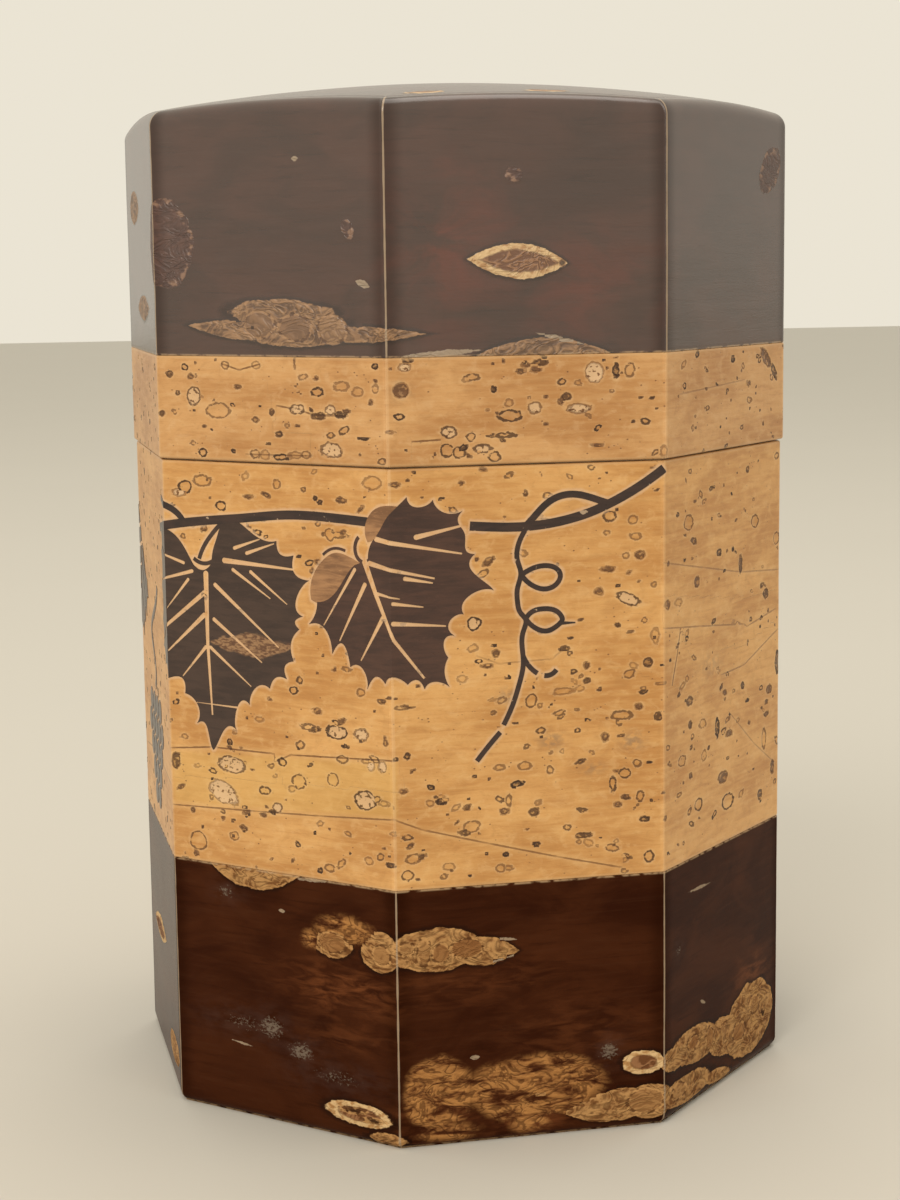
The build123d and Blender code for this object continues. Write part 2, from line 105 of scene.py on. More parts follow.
# ---- Camera ----
def make_camera():
    """The photograph's viewpoint: in front and a little left, slightly above the seam, looking down."""
    azimuth = math.radians(-13.0)
    distance = 286.5 * MM
    height = 98.4 * MM
    yaw = math.radians(-0.075)
    pitch = math.radians(8.28)
    roll = math.radians(0.73)
    place = Vector((math.sin(azimuth) * distance, -math.cos(azimuth) * distance, height))
    heading = -azimuth + yaw
    level = Vector((math.sin(heading), math.cos(heading), 0))
    forward = level * math.cos(pitch) - Vector((0, 0, 1)) * math.sin(pitch)
    flat_right = forward.cross(Vector((0, 0, 1))).normalized()
    flat_up = flat_right.cross(forward)
    right = flat_right * math.cos(roll) - flat_up * math.sin(roll)
    up = right.cross(forward)
    turn = Matrix((right, up, -forward)).transposed().to_4x4()
    data = bpy.data.cameras.new("camera")
    data.lens = 68.7
    data.sensor_width = 36.0
    data.clip_start = 0.01
    camera = bpy.data.objects.new("camera", data)
    camera.matrix_world = Matrix.Translation(place) @ turn
    bpy.context.scene.collection.objects.link(camera)
    bpy.context.scene.camera = camera


# ---- Shape of the octagon ----
def rounded_octagon(share, flats, radius):
    """Points on an octagon with rounded corners. share counts sides from the front's left corner."""
    side = np.floor(share)
    u = share - side
    width = flats * SIDE_TO_FLATS
    turn_share = radius * SIDE_TO_FLATS / width
    facing = -math.pi / 2 + side * 2 * HALF_TURN
    near_right = u > 0.5
    to_corner = np.where(near_right, 1 - u, u)
    bend = np.clip(1 - to_corner / max(turn_share, 1e-9), 0, 1) * HALF_TURN
    sign = np.where(near_right, 1.0, -1.0)
    normal = facing + sign * bend
    bisector = facing + sign * HALF_TURN
    reach = (flats / 2 - radius) / math.cos(HALF_TURN)
    corner_x = reach * np.cos(bisector) + radius * np.cos(normal)
    corner_y = reach * np.sin(bisector) + radius * np.sin(normal)
    along = (u - 0.5) * width
    flat_x = flats / 2 * np.cos(facing) - along * np.sin(facing)
    flat_y = flats / 2 * np.sin(facing) + along * np.cos(facing)
    in_corner = to_corner < turn_share
    x = np.where(in_corner, corner_x, flat_x)
    y = np.where(in_corner, corner_y, flat_y)
    return x, y, np.cos(normal), np.sin(normal)


def columns():
    """The columns of every skin, counted in sides: close together in the corners."""
    bend = CORNER_RADIUS * SIDE_TO_FLATS / SIDE_MM
    arc = np.linspace(0, bend, CORNER_STEPS // 2 + 1)
    count = round(SIDE_MM / GRID)
    flat = np.linspace(bend, 1 - bend, count)
    one_side = np.concatenate([arc[:-1], flat, 1 - arc[:0:-1]])
    return (one_side[None, :] + np.arange(SIDES)[:, None] - SIDES // 2).ravel()


SHARES = columns()


def octagon_rings(insets, flats, radii):
    """Rings of points at insets from the sides, with the outward direction and each point's share."""
    rings = [rounded_octagon(SHARES, flats - 2 * inset, r) for inset, r in zip(insets, radii)]
    x, y, nx, ny = (np.array(values) for values in zip(*rings))
    return x, y, nx, ny, np.tile(SHARES, (len(insets), 1))


def opening_arc(radius):
    """(inset, rise) over a rounded lower edge, from its foot to the side."""
    return [(radius * (1 - math.sin(a)), radius * (1 - math.cos(a))) for a in QUARTER_TURN]


def closing_arc(radius):
    """(inset, height measured from the top) over a rounded upper edge, from the side to its top."""
    return [(radius * (1 - math.cos(a)), -radius * (1 - math.sin(a))) for a in QUARTER_TURN]


def way_round(ds):
    """The shorter way round the caddy for a distance along its sides."""
    return (ds + ROUND_MM / 2) % ROUND_MM - ROUND_MM / 2


# ---- Noise for the relief ----
def soft_noise(s, z, cell_s, cell_z, seed):
    """Smooth noise from -1 to 1 that closes on itself once round the caddy."""
    random = np.random.default_rng(seed)
    wide = max(round(ROUND_MM / cell_s), 1)
    tall = 512  # cells, more than any skin is high
    lattice = random.uniform(-1, 1, (wide, tall))
    across = (s / ROUND_MM % 1) * wide
    up = z / cell_z % tall
    i = np.floor(across).astype(int)
    j = np.floor(up).astype(int)
    fx = across - i
    fy = up - j
    fx = fx * fx * (3 - 2 * fx)
    fy = fy * fy * (3 - 2 * fy)
    i0 = i % wide
    i1 = (i + 1) % wide
    j0 = j % tall
    j1 = (j + 1) % tall
    lower = lattice[i0, j0] * (1 - fx) + lattice[i1, j0] * fx
    upper = lattice[i0, j1] * (1 - fx) + lattice[i1, j1] * fx
    return lower * (1 - fy) + upper * fy


# ---- Marks in the bark ----
# A mark is (s, z, half width, half height, turn in degrees, kind).
PIT_DARK = 0
PIT_RING = 1
PIT_PALE = 2
CRUST = 3
SPINDLE = 3.2  # crust that narrows to a point at both ends
EYE = 4
LENS_EYE = 4.2
SCAB = 5
CHIP = 6
KNOT = 7
HOLE = 8
RUST = 9
POINTED = {SPINDLE, LENS_EYE, CHIP}
RAISED = {CRUST: 0.13, SPINDLE: 0.11, EYE: 0.09, LENS_EYE: 0.09, SCAB: 0.04, RUST: 0.04, KNOT: 0.05}
SAME_KIND = 0.4
REACH = 1.9  # how far past its own edge a mark still owns the faces round it


def local_place(s, z, mark):
    """Place relative to a mark, where the mark's own edge is about 1 from its middle."""
    centre_s, centre_z, half_s, half_z, turn, _ = mark
    ds = way_round(s - centre_s)
    dz = z - centre_z
    cos = math.cos(math.radians(turn))
    sin = math.sin(math.radians(turn))
    return (ds * cos + dz * sin) / half_s, (dz * cos - ds * sin) / half_z


def reach_of(lx, lz, kind):
    """Distance from a mark's middle, which is 1 at its edge."""
    if kind in POINTED:
        return np.abs(lz) + lx * lx
    return np.hypot(lx, lz)


SMALLEST_PIT = 0.10
PIT_SPREAD = 0.24
RINGED_FROM = 0.15  # smaller pits have no ring
RINGED_SHARE = 0.65


def scattered_pits(seed, bottom, top, per_mm2):
    """Small pits strewn over a band of light bark, more of them small than large."""
    random = np.random.default_rng(seed)
    count = int(ROUND_MM * (top - bottom) * per_mm2)
    marks = []
    for _ in range(count):
        s = random.uniform(0, ROUND_MM)
        z = random.uniform(bottom, top)
        size = SMALLEST_PIT + PIT_SPREAD * random.random() ** 2
        stretch = random.uniform(1.1, 2.1)
        turn = random.normal(0, 20)
        kind = (PIT_DARK, PIT_RING)[random.choice(2, p=(1 - RINGED_SHARE, RINGED_SHARE))]
        if size < RINGED_FROM:
            kind = PIT_DARK
        marks.append((s, z, size * stretch, size, turn, kind))
    return marks


def pits(start, kind, places):
    """Level marks of one kind on one side, each (distance from the side's left corner, z, halves)."""
    return [(start + u, z, half_s, half_z, 0, kind) for u, z, half_s, half_z in places]


BODY_PITS = (
    *pits(LEFT, PIT_PALE, (
        (8.9, 42.0, 1.9, 0.9), (27.4, 39.9, 1.4, 1.0), (23.7, 47.3, 1.3, 0.7), (27.0, 47.3, 0.9, 0.6),
        (15.3, 37.7, 0.6, 0.5), (28.2, 43.9, 0.5, 0.5), (29.7, 43.9, 0.5, 0.6), (2.4, 73.2, 0.9, 0.4),
    )),
    *pits(LEFT, PIT_RING, (
        (3.2, 73.9, 0.9, 0.7), (5.8, 74.7, 1.2, 0.6), (16.2, 74.7, 0.5, 0.5), (8.3, 71.9, 0.7, 0.5),
        (23.1, 41.8, 0.7, 0.65), (18.4, 41.1, 0.9, 0.8), (13.5, 39.5, 0.7, 0.4), (29.8, 39.8, 0.8, 0.3),
        (24.4, 44.2, 0.7, 0.4), (16.1, 43.1, 0.5, 0.4), (18.7, 45.3, 0.5, 0.4), (13.0, 47.7, 0.5, 0.3),
        (19.8, 47.5, 1.0, 0.3), (18.8, 52.7, 0.4, 0.4), (17.9, 51.5, 0.5, 0.4), (23.3, 69.4, 0.6, 0.6),
        (9.0, 33.6, 0.6, 0.5), (3.7, 32.4, 1.2, 1.1), (27.7, 33.0, 0.5, 0.4), (22.3, 31.5, 0.6, 0.4),
        (29.0, 75.3, 1.2, 0.7), (25.2, 54.5, 0.5, 0.25), (27.0, 52.0, 0.5, 0.4), (23.9, 69.4, 1.4, 0.3),
    )),
    *pits(LEFT, PIT_DARK, (
        (22.0, 72.9, 0.3, 0.25), (12.2, 73.1, 0.6, 0.2), (21.6, 66.2, 0.4, 0.3), (20.8, 65.2, 0.3, 0.3),
        (0.7, 41.7, 0.6, 0.9), (24.8, 45.8, 0.4, 0.2), (18.0, 33.7, 0.3, 0.25), (10.4, 34.7, 0.45, 0.3),
        (3.0, 36.0, 0.3, 0.25), (8.7, 44.6, 0.3, 0.45), (21.1, 49.4, 0.6, 0.3), (30.2, 46.7, 0.25, 0.5),
        (13.2, 36.6, 0.4, 0.2), (14.5, 50.2, 0.3, 0.2), (19.9, 74.2, 0.3, 0.2), (29.8, 51.3, 0.45, 0.25),
    )),
    *pits(0, PIT_RING, (
        (24.8, 70.9, 0.75, 0.55), (27.5, 70.4, 0.45, 0.45), (26.7, 66.4, 0.4, 0.35), (7.9, 53.5, 0.5, 0.4),
        (30.1, 57.2, 0.5, 0.8), (27.1, 53.1, 0.6, 0.45), (19.4, 51.5, 1.0, 0.35), (21.3, 51.7, 0.45, 0.3),
        (26.2, 48.4, 1.1, 0.45), (12.0, 43.3, 0.6, 0.3), (14.9, 43.3, 0.7, 0.4), (17.8, 42.7, 0.4, 0.4),
        (28.0, 42.8, 0.45, 0.4), (26.5, 41.8, 0.6, 0.5), (25.1, 40.7, 0.35, 0.8), (28.3, 39.0, 0.4, 0.5),
        (8.8, 36.8, 0.9, 0.6), (12.0, 31.8, 0.45, 0.4), (6.1, 32.4, 0.6, 0.4), (1.4, 31.7, 0.6, 0.5),
        (2.0, 33.6, 0.7, 0.5), (13.0, 39.5, 0.3, 0.6), (29.4, 32.0, 0.5, 0.6), (5.3, 40.4, 0.4, 0.25),
        (15.7, 50.6, 0.6, 0.7), (30.9, 51.8, 0.5, 0.2), (16.7, 50.0, 0.3, 0.3),
    )),
    *pits(0, PIT_DARK, (
        (28.3, 66.4, 0.55, 0.5), (24.7, 65.0, 0.7, 0.3), (23.6, 62.5, 0.5, 0.4), (19.6, 56.3, 0.5, 0.25),
        (22.1, 54.3, 0.4, 0.45), (29.3, 54.2, 0.5, 0.5), (30.1, 57.0, 0.35, 0.35), (24.2, 46.0, 0.4, 0.45),
        (10.7, 54.8, 0.55, 0.2), (11.7, 56.1, 0.4, 0.4), (1.5, 45.2, 0.3, 0.35), (1.1, 41.3, 0.5, 0.25),
        (8.2, 39.0, 0.5, 0.3), (15.9, 38.0, 0.5, 0.4), (25.7, 38.2, 0.4, 0.25), (28.8, 36.3, 0.5, 0.3),
        (21.7, 34.9, 0.8, 0.25), (16.2, 34.3, 0.4, 0.25), (30.4, 48.0, 0.4, 0.45), (28.2, 49.3, 0.5, 0.35),
        (28.7, 51.0, 0.4, 0.25), (12.5, 38.3, 0.5, 0.3), (1.5, 50.7, 0.6, 0.15), (25.7, 58.7, 0.3, 0.3),
    )),
    (LEFT + 7.6, 38.6, 2.1, 1.2, -22, PIT_PALE),
    (9.3, 59.6, 0.75, 0.7, 0, PIT_PALE),
    (27.0, 61.6, 1.3, 0.55, -25, PIT_PALE),
    *pits(RIGHT, PIT_RING, (
        (5.9, 69.3, 1.1, 0.8), (24.0, 67.7, 0.95, 0.7), (30.3, 65.0, 0.8, 0.7), (3.4, 60.5, 0.85, 0.4),
        (4.4, 42.0, 0.85, 0.6), (9.8, 45.4, 0.9, 0.5), (27.0, 40.5, 0.6, 1.3), (8.8, 36.0, 0.9, 0.7),
        (16.8, 34.8, 1.5, 0.9), (10.2, 41.5, 0.6, 0.6),
    )),
    *pits(RIGHT, PIT_DARK, (
        (8.1, 62.3, 0.65, 0.6), (0.7, 60.6, 0.6, 0.5), (14.0, 65.0, 0.55, 0.4), (20.0, 63.0, 0.45, 0.9),
        (27.3, 58.5, 0.75, 0.55), (6.3, 48.7, 0.75, 0.5), (13.7, 44.3, 0.5, 1.1), (17.0, 43.0, 0.9, 0.4),
        (28.4, 46.5, 0.8, 0.5), (30.8, 49.5, 0.6, 1.3), (15.3, 38.0, 1.2, 0.7), (25.9, 33.7, 0.6, 0.6),
        (6.5, 45.9, 0.45, 0.45), (20.7, 48.2, 0.4, 0.4), (27.6, 43.5, 0.6, 0.3), (29.5, 36.5, 0.5, 0.8),
    )),
)
STRIP_PITS = (
    *pits(LEFT, PIT_PALE, (
        (5.2, 84.3, 0.9, 1.0), (19.4, 83.1, 0.9, 0.5), (23.9, 83.1, 0.6, 0.5), (23.9, 78.7, 1.3, 0.8),
    )),
    *pits(LEFT, PIT_RING, (
        (8.6, 82.7, 1.6, 0.8), (9.7, 87.8, 0.45, 0.4), (14.0, 87.9, 0.5, 0.4), (22.2, 85.0, 0.7, 0.45),
        (25.3, 85.7, 0.9, 0.5), (27.4, 85.1, 0.7, 0.5), (29.7, 85.5, 0.4, 0.5), (13.6, 78.0, 0.7, 0.5),
        (14.9, 77.9, 0.6, 0.5), (17.1, 77.7, 0.8, 0.3), (19.0, 78.0, 0.8, 0.35), (20.5, 78.1, 0.5, 0.35),
        (6.3, 77.9, 0.5, 0.4), (30.4, 77.7, 0.4, 0.3),
    )),
    *pits(LEFT, PIT_DARK, (
        (22.3, 82.4, 0.8, 0.4), (25.2, 82.6, 0.7, 0.3), (13.8, 81.8, 0.4, 0.3), (16.0, 82.7, 0.3, 0.35),
        (4.8, 86.5, 0.4, 0.3), (2.9, 84.6, 0.3, 0.25), (29.7, 87.9, 0.35, 0.25), (22.1, 86.5, 0.3, 0.2),
        (19.2, 88.2, 0.15, 0.5), (28.1, 80.1, 0.5, 0.15), (1.8, 86.7, 0.4, 0.3), (0.5, 82.2, 0.4, 0.3),
    )),
    *pits(0, PIT_PALE, (
        (23.0, 86.8, 1.0, 1.1), (16.2, 83.1, 0.7, 0.6), (6.7, 80.7, 0.8, 0.6), (2.0, 87.8, 0.6, 0.4),
        (10.4, 78.8, 0.9, 0.4), (21.2, 82.9, 1.2, 0.5),
    )),
    *pits(0, PIT_RING, (
        (6.5, 78.7, 0.7, 0.7), (7.8, 78.5, 0.7, 0.6), (13.5, 82.3, 1.2, 0.6), (13.4, 83.7, 0.4, 0.4),
        (19.3, 85.8, 0.4, 0.3), (9.1, 80.1, 0.4, 0.4), (11.7, 77.9, 0.6, 0.5), (30.9, 77.9, 0.4, 0.6),
        (27.0, 86.9, 0.5, 0.7), (12.7, 80.2, 1.2, 0.2),
    )),
    *pits(0, PIT_DARK, (
        (1.5, 85.3, 0.8, 0.8), (15.2, 87.8, 0.5, 0.3), (16.9, 88.0, 0.8, 0.3), (19.8, 84.2, 0.5, 0.4),
        (25.4, 86.9, 0.35, 0.7), (11.7, 85.2, 0.3, 0.3), (23.2, 78.8, 0.5, 0.2), (17.5, 84.3, 0.2, 0.2),
    )),
    (RIGHT + 26.0, 87.2, 1.6, 0.7, -35, PIT_DARK),
    (RIGHT + 28.4, 85.4, 1.0, 0.5, -50, PIT_DARK),
)
FOOT_MARKS = (
    (-19.6, 30.6, 7.1, 3.0, 0, SPINDLE),
    (-11.3, 29.8, 2.4, 0.2, 3, CHIP),
    (-11.7, 22.9, 1.4, 1.3, 0, RUST),
    (-7.0, 24.6, 4.3, 1.8, 0, RUST),
    (-8.7, 22.9, 2.7, 1.8, 0, CRUST),
    (-2.3, 22.7, 2.6, 2.3, 0, CRUST),
    (4.6, 23.0, 5.4, 2.5, 0, CRUST),
    (9.4, 22.5, 4.8, 1.7, -4, SPINDLE),
    (12.6, 23.6, 1.5, 0.18, -8, CHIP),
    (12.0, 21.3, 2.2, 0.16, 14, CHIP),
    (-15.7, 25.6, 0.45, 0.22, 0, CHIP),
    (-22.0, 8.8, 1.5, 0.15, -5, CHIP),
    (-5.5, 3.2, 4.5, 1.35, -2, EYE),
    (-1.5, 0.9, 2.4, 0.8, 0, CRUST),
    (4.6, 6.2, 4.3, 4.6, 0, RUST),
    (5.5, 1.6, 4.0, 1.3, 0, RUST),
    (15.2, 1.8, 2.6, 1.5, 0, RUST),
    (11.9, 2.7, 0.8, 0.6, 0, RUST),
    (15.8, 6.0, 8.6, 4.0, 0, RUST),
    (16.4, 5.2, 2.7, 1.2, -10, CRUST),
    (8.8, 10.1, 0.6, 0.3, 0, CHIP),
    (28.7, 7.7, 2.6, 1.4, -3, EYE),
    (25.7, 2.9, 6.6, 1.9, 4, SPINDLE),
    (29.6, 3.0, 3.2, 2.1, 0, CRUST),
    (33.6, 7.1, 3.0, 1.4, -8, CRUST),
    (39.2, 7.2, 6.4, 2.2, -4, CRUST),
    (47.4, 5.8, 4.6, 2.5, -10, CRUST),
    (54.4, 5.9, 7.0, 4.5, 4, CRUST),
    (37.0, 2.5, 6.8, 1.7, -2, CRUST),
    (45.0, 1.5, 4.0, 0.9, -8, CRUST),
    (40.3, 26.0, 2.8, 0.2, -2, CHIP),
    (41.3, 11.8, 0.8, 0.22, -25, CHIP),
    (BACK_RIGHT + 3.0, 9.5, 9.0, 3.0, -8, CRUST),
    (BACK_RIGHT + 21.0, 18.0, 7.5, 1.7, 0, SPINDLE),
    (BACK + 9.0, 5.0, 7.0, 2.2, 5, CRUST),
    (BACK + 24.0, 24.0, 5.5, 1.4, 0, LENS_EYE),
    (BACK_LEFT + 14.0, 11.0, 9.5, 2.3, -5, SPINDLE),
    (FAR_LEFT + 12.0, 16.0, 6.5, 1.5, 0, LENS_EYE),
    (FAR_LEFT + 25.0, 4.5, 5.0, 1.8, 0, CRUST),
)
FOOT_DETAILS = (
    (-8.7, 22.9, 1.9, 1.2, 0, KNOT),
    (-2.0, 22.4, 1.2, 1.2, 0, KNOT),
    (1.1, 23.3, 0.9, 0.8, 0, KNOT),
    (3.1, 22.8, 0.8, 1.5, 0, KNOT),
    (5.0, 22.5, 1.0, 1.2, 0, KNOT),
    (8.0, 22.9, 1.9, 1.1, 0, KNOT),
    (-6.2, 3.5, 1.4, 0.3, 3, HOLE),
    (-3.5, 2.8, 1.3, 0.3, 4, HOLE),
    (29.0, 3.1, 2.2, 1.5, 0, KNOT),
    (38.6, 7.6, 1.6, 0.8, 0, KNOT),
    (34.8, 2.9, 1.9, 1.0, 0, KNOT),
    (43.0, 6.9, 1.1, 1.3, 0, KNOT),
    (51.2, 5.2, 1.8, 1.2, 0, KNOT),
    (55.6, 7.4, 1.4, 1.1, 0, KNOT),
    (58.4, 5.5, 0.6, 0.5, 0, HOLE),
)
LID_MARKS = (
    (-29.8, 101.3, 4.3, 5.0, 0, SCAB),
    (-13.6, 93.5, 7.0, 1.6, -2, CRUST),
    (-12.0, 91.8, 7.4, 1.9, 0, CRUST),
    (-19.3, 91.7, 7.2, 1.0, -4, SPINDLE),
    (-3.7, 91.3, 8.0, 0.85, 0, SPINDLE),
    (-4.7, 102.5, 0.7, 1.1, 25, SCAB),
    (-2.9, 96.7, 1.0, 0.4, -20, CHIP),
    (-11.4, 110.2, 0.5, 0.3, 0, CHIP),
    (14.5, 98.9, 5.6, 1.9, -3, LENS_EYE),
    (14.1, 108.1, 1.0, 0.8, 0, SCAB),
    (14.1, 108.0, 0.2, 0.6, 0, CHIP),
    (17.3, 88.9, 7.4, 1.7, 0, SPINDLE),
    (5.8, 89.15, 4.6, 0.35, 4, CHIP),
    (19.2, 90.5, 3.0, 0.25, -14, CHIP),
    (RIGHT + 26.8, 109.2, 3.4, 2.2, 40, SCAB),
    (BACK_RIGHT + 12.0, 96.0, 8.0, 1.8, 0, SPINDLE),
    (BACK + 6.0, 107.0, 6.0, 1.4, 0, LENS_EYE),
    (BACK + 22.0, 92.5, 10.0, 2.4, 0, SPINDLE),
    (BACK_LEFT + 17.0, 101.0, 6.5, 1.6, 0, LENS_EYE),
    (FAR_LEFT + 10.0, 106.0, 5.0, 2.0, 0, CRUST),
    (FAR_LEFT + 18.0, 94.0, 6.5, 1.5, 0, SPINDLE),
)
LID_DETAILS = (
    (-16.6, 92.3, 2.0, 1.5, 0, KNOT),
    (-17.5, 92.0, 0.7, 0.6, 0, HOLE),
    (-11.8, 92.0, 2.2, 1.4, 0, KNOT),
    (-6.9, 91.8, 1.9, 1.5, 0, KNOT),
    (19.4, 98.6, 0.3, 0.3, 0, HOLE),
)
DOME_MARKS = (
    (-10.3, -33.6, 2.4, 1.0, 0, LENS_EYE),
    (3.2, -33.9, 2.8, 1.0, 0, LENS_EYE),
    (12.0, -7.0, 6.0, 1.4, 3, SPINDLE),
    (-10.0, 6.0, 8.0, 1.6, 0, SPINDLE),
    (17.0, 14.0, 5.0, 1.2, 0, LENS_EYE),
    (-3.0, 24.0, 6.5, 1.4, -4, SPINDLE),
)

# Cracks and joint lines in the light bark: points, and how strongly each shows.
CRACKS = (
    (((-31.2, 43.1), (-25.0, 43.8), (-16.6, 43.9), (-15.8, 43.1), (-14.0, 44.0), (0.5, 44.8)), 1.0),
    (((-31.2, 36.3), (-19.0, 36.9), (-10.0, 37.4), (0.0, 38.1), (3.1, 36.8)), 0.9),
    (((3.1, 36.8), (10.4, 34.8), (18.8, 32.6), (26.0, 30.9)), 0.9),
    (((9.7, 55.9), (12.0, 55.0), (18.0, 55.2), (19.6, 56.3)), 0.5),
    (((RIGHT, 65.4), (RIGHT + 10, 63.7), (RIGHT + 20, 62.0), (RIGHT + 31, 61.0)), 0.6),
    (((RIGHT, 58.0), (RIGHT + 9, 57.0), (RIGHT + 21, 55.6)), 0.7),
    (((RIGHT + 18, 56.5), (RIGHT + 22, 55.2), (RIGHT + 30, 56.2)), 0.7),
    (((RIGHT + 15, 50.4), (RIGHT + 21, 50.6), (RIGHT + 31, 53.6)), 0.7),
    (((RIGHT + 3.9, 57.4), (RIGHT + 3.1, 54.6), (RIGHT + 1.9, 51.4)), 1.6),
    (((RIGHT + 17, 45.5), (RIGHT + 24, 40.5), (RIGHT + 30, 37.0)), 0.5),
    (((FAR_LEFT + 2, 38.0), (FAR_LEFT + 16, 39.5), (LEFT - 1, 38.5)), 0.7),
    (((BACK_RIGHT + 2, 49.0), (BACK_RIGHT + 20, 51.0), (BACK + 8, 50.0)), 0.8),
    (((BACK + 5, 66.0), (BACK + 26, 64.5)), 0.8),
    (((BACK_LEFT + 1, 41.0), (BACK_LEFT + 18, 42.5), (6 * SIDE_MM - 2, 41.8)), 0.8),
)
STRIP_CRACKS = (
    (((-21.8, 87.9), (-19.6, 87.3), (-16.6, 88.0)), 1.2),
    (((-14.4, 83.4), (-11.8, 83.1), (-9.6, 82.5), (-5.2, 82.5)), 1.2),
    (((-18.7, 77.9), (-10.2, 78.0)), 0.8),
    (((2.9, 79.8), (5.6, 79.9)), 1.5),
    (((RIGHT + 3, 84.0), (RIGHT + 20, 84.8)), 0.5),
    (((BACK, 81.0), (BACK + 28, 82.3)), 0.8),
)


CRACK_TAPER = 2.5  # a crack fades over this length at its ends
CRACK_END = 0.6  # how strongly its very end still shows


def crack_field(s, z, cracks):
    """Signed distance to the nearest crack and how strongly it shows."""
    nearest = np.full(s.shape, FAR_OFF)
    strength = np.zeros(s.shape)
    for points, shows in cracks:
        for (s0, z0), (s1, z1) in zip(points[:-1], points[1:]):
            length = math.hypot(s1 - s0, z1 - z0)
            ds = way_round(s - s0)
            along = (ds * (s1 - s0) + (z - z0) * (z1 - z0)) / length
            off = ((z - z0) * (s1 - s0) - ds * (z1 - z0)) / length
            inside = (along > -GRID) & (along < length + GRID)
            closer = inside & (np.abs(off) < np.abs(nearest))
            nearest = np.where(closer, off, nearest)
            fade = np.clip(np.minimum(along, length - along) / CRACK_TAPER + CRACK_END, 0, 1)
            strength = np.where(closer, shows * fade, strength)
    return nearest, strength


# Soft stains: (s, z, half width, half height, strength).
RED_STAINS = (
    (-7.5, 17.6, 7.0, 3.0, 1.0),
    (-7.0, 12.0, 7.0, 2.0, 0.4),
    (15.5, 1.8, 5.0, 2.4, 1.0),
    (4.0, 3.0, 5.0, 3.0, 0.7),
    (8.0, 19.0, 10.0, 3.0, 0.4),
    (20.0, 12.0, 9.0, 4.0, 0.35),
    (55.0, 11.8, 5.0, 2.2, 0.8),
    (7.5, 100.0, 7.0, 9.0, 1.0),
    (22.0, 96.0, 8.0, 6.0, 0.8),
    (BACK + 15.0, 14.0, 14.0, 7.0, 0.5),
    (BACK + 18.0, 103.0, 14.0, 8.0, 0.4),
)
SCURF = (
    (-21.5, 11.4, 6.5, 2.0, 0.62),
    (-17.6, 11.4, 3.0, 2.2, 0.78),
    (-13.4, 9.2, 3.0, 1.9, 0.78),
    (-8.5, 7.0, 7.0, 2.0, 0.62),
    (-23.8, 26.8, 2.2, 1.4, 0.7),
    (24.6, 9.4, 1.8, 1.8, 0.8),
    (34.8, 19.8, 1.3, 1.1, 0.7),
    (BACK_RIGHT + 12.0, 12.5, 8.0, 2.5, 0.7),
    (BACK_LEFT + 22.0, 6.0, 7.0, 2.5, 0.8),
)
GREY_STAINS = (
    (13.0, 51.3, 0.9, 0.8, 1.0),
    (18.0, 46.0, 1.4, 0.9, 1.0),
    (27.4, 45.4, 1.3, 1.0, 1.0),
    (22.7, 42.6, 1.3, 0.7, 0.7),
    (1.5, 85.3, 1.0, 0.9, 1.0),
    (RIGHT + 12.0, 52.0, 3.0, 1.5, 0.5),
)
PATCH_LEFT = -31.2
PATCH_RIGHT = 0.6
PATCH_FOOT = (36.4, 38.1)  # heights of its lower edge, at the left and at the right
PATCH_HEAD = (43.0, 44.7)
PATCH_EDGE = 0.5  # width of its soft edge


def yellow_patch(s, z):
    """One paler strip of bark let in between the two long joint lines."""
    share = (s - PATCH_LEFT) / (PATCH_RIGHT - PATCH_LEFT)
    foot, head = (low + (high - low) * share for low, high in (PATCH_FOOT, PATCH_HEAD))
    inside = np.minimum(np.minimum(z - foot, head - z), np.minimum(s - PATCH_LEFT, PATCH_RIGHT - s))
    return np.clip(inside / PATCH_EDGE, 0, 1)


def inlay_distance(points):
    """Distance in millimetres from each point to the nearest inlay."""
    nodes = frame["nodes"]
    corners = []
    faces = []
    for part in frame["record"]["subparts"]:
        if not part["material_slot"].startswith("inlay"):
            continue
        mesh = nodes[part["node"]].data
        start = len(corners)
        corners += [tuple(v.co) for v in mesh.vertices]
        faces += [tuple(start + index for index in face.vertices) for face in mesh.polygons]
    tree = BVHTree.FromPolygons(corners, faces)
    found = [tree.find_nearest(Vector(p) * MM, FAR_FROM_INLAY * MM)[3] for p in points]
    return np.array([FAR_FROM_INLAY if distance is None else distance / MM for distance in found])


def stain(s, z, stains):
    """How strongly soft round stains show, each fading outward from its middle."""
    total = np.zeros(s.shape)
    for centre_s, centre_z, half_s, half_z, strength in stains:
        ds = way_round(s - centre_s)
        far = (ds / half_s) ** 2 + ((z - centre_z) / half_z) ** 2
        total = np.maximum(total, strength * np.exp(-far))
    return total


# ---- Relief ----
PIT_DEPTH = 0.14
PIT_DEPTH_SHARE = 0.16  # of a pit's smaller half size, for small pits
PIT_RIM = 0.02
PIT_RIM_WIDTH = 0.25


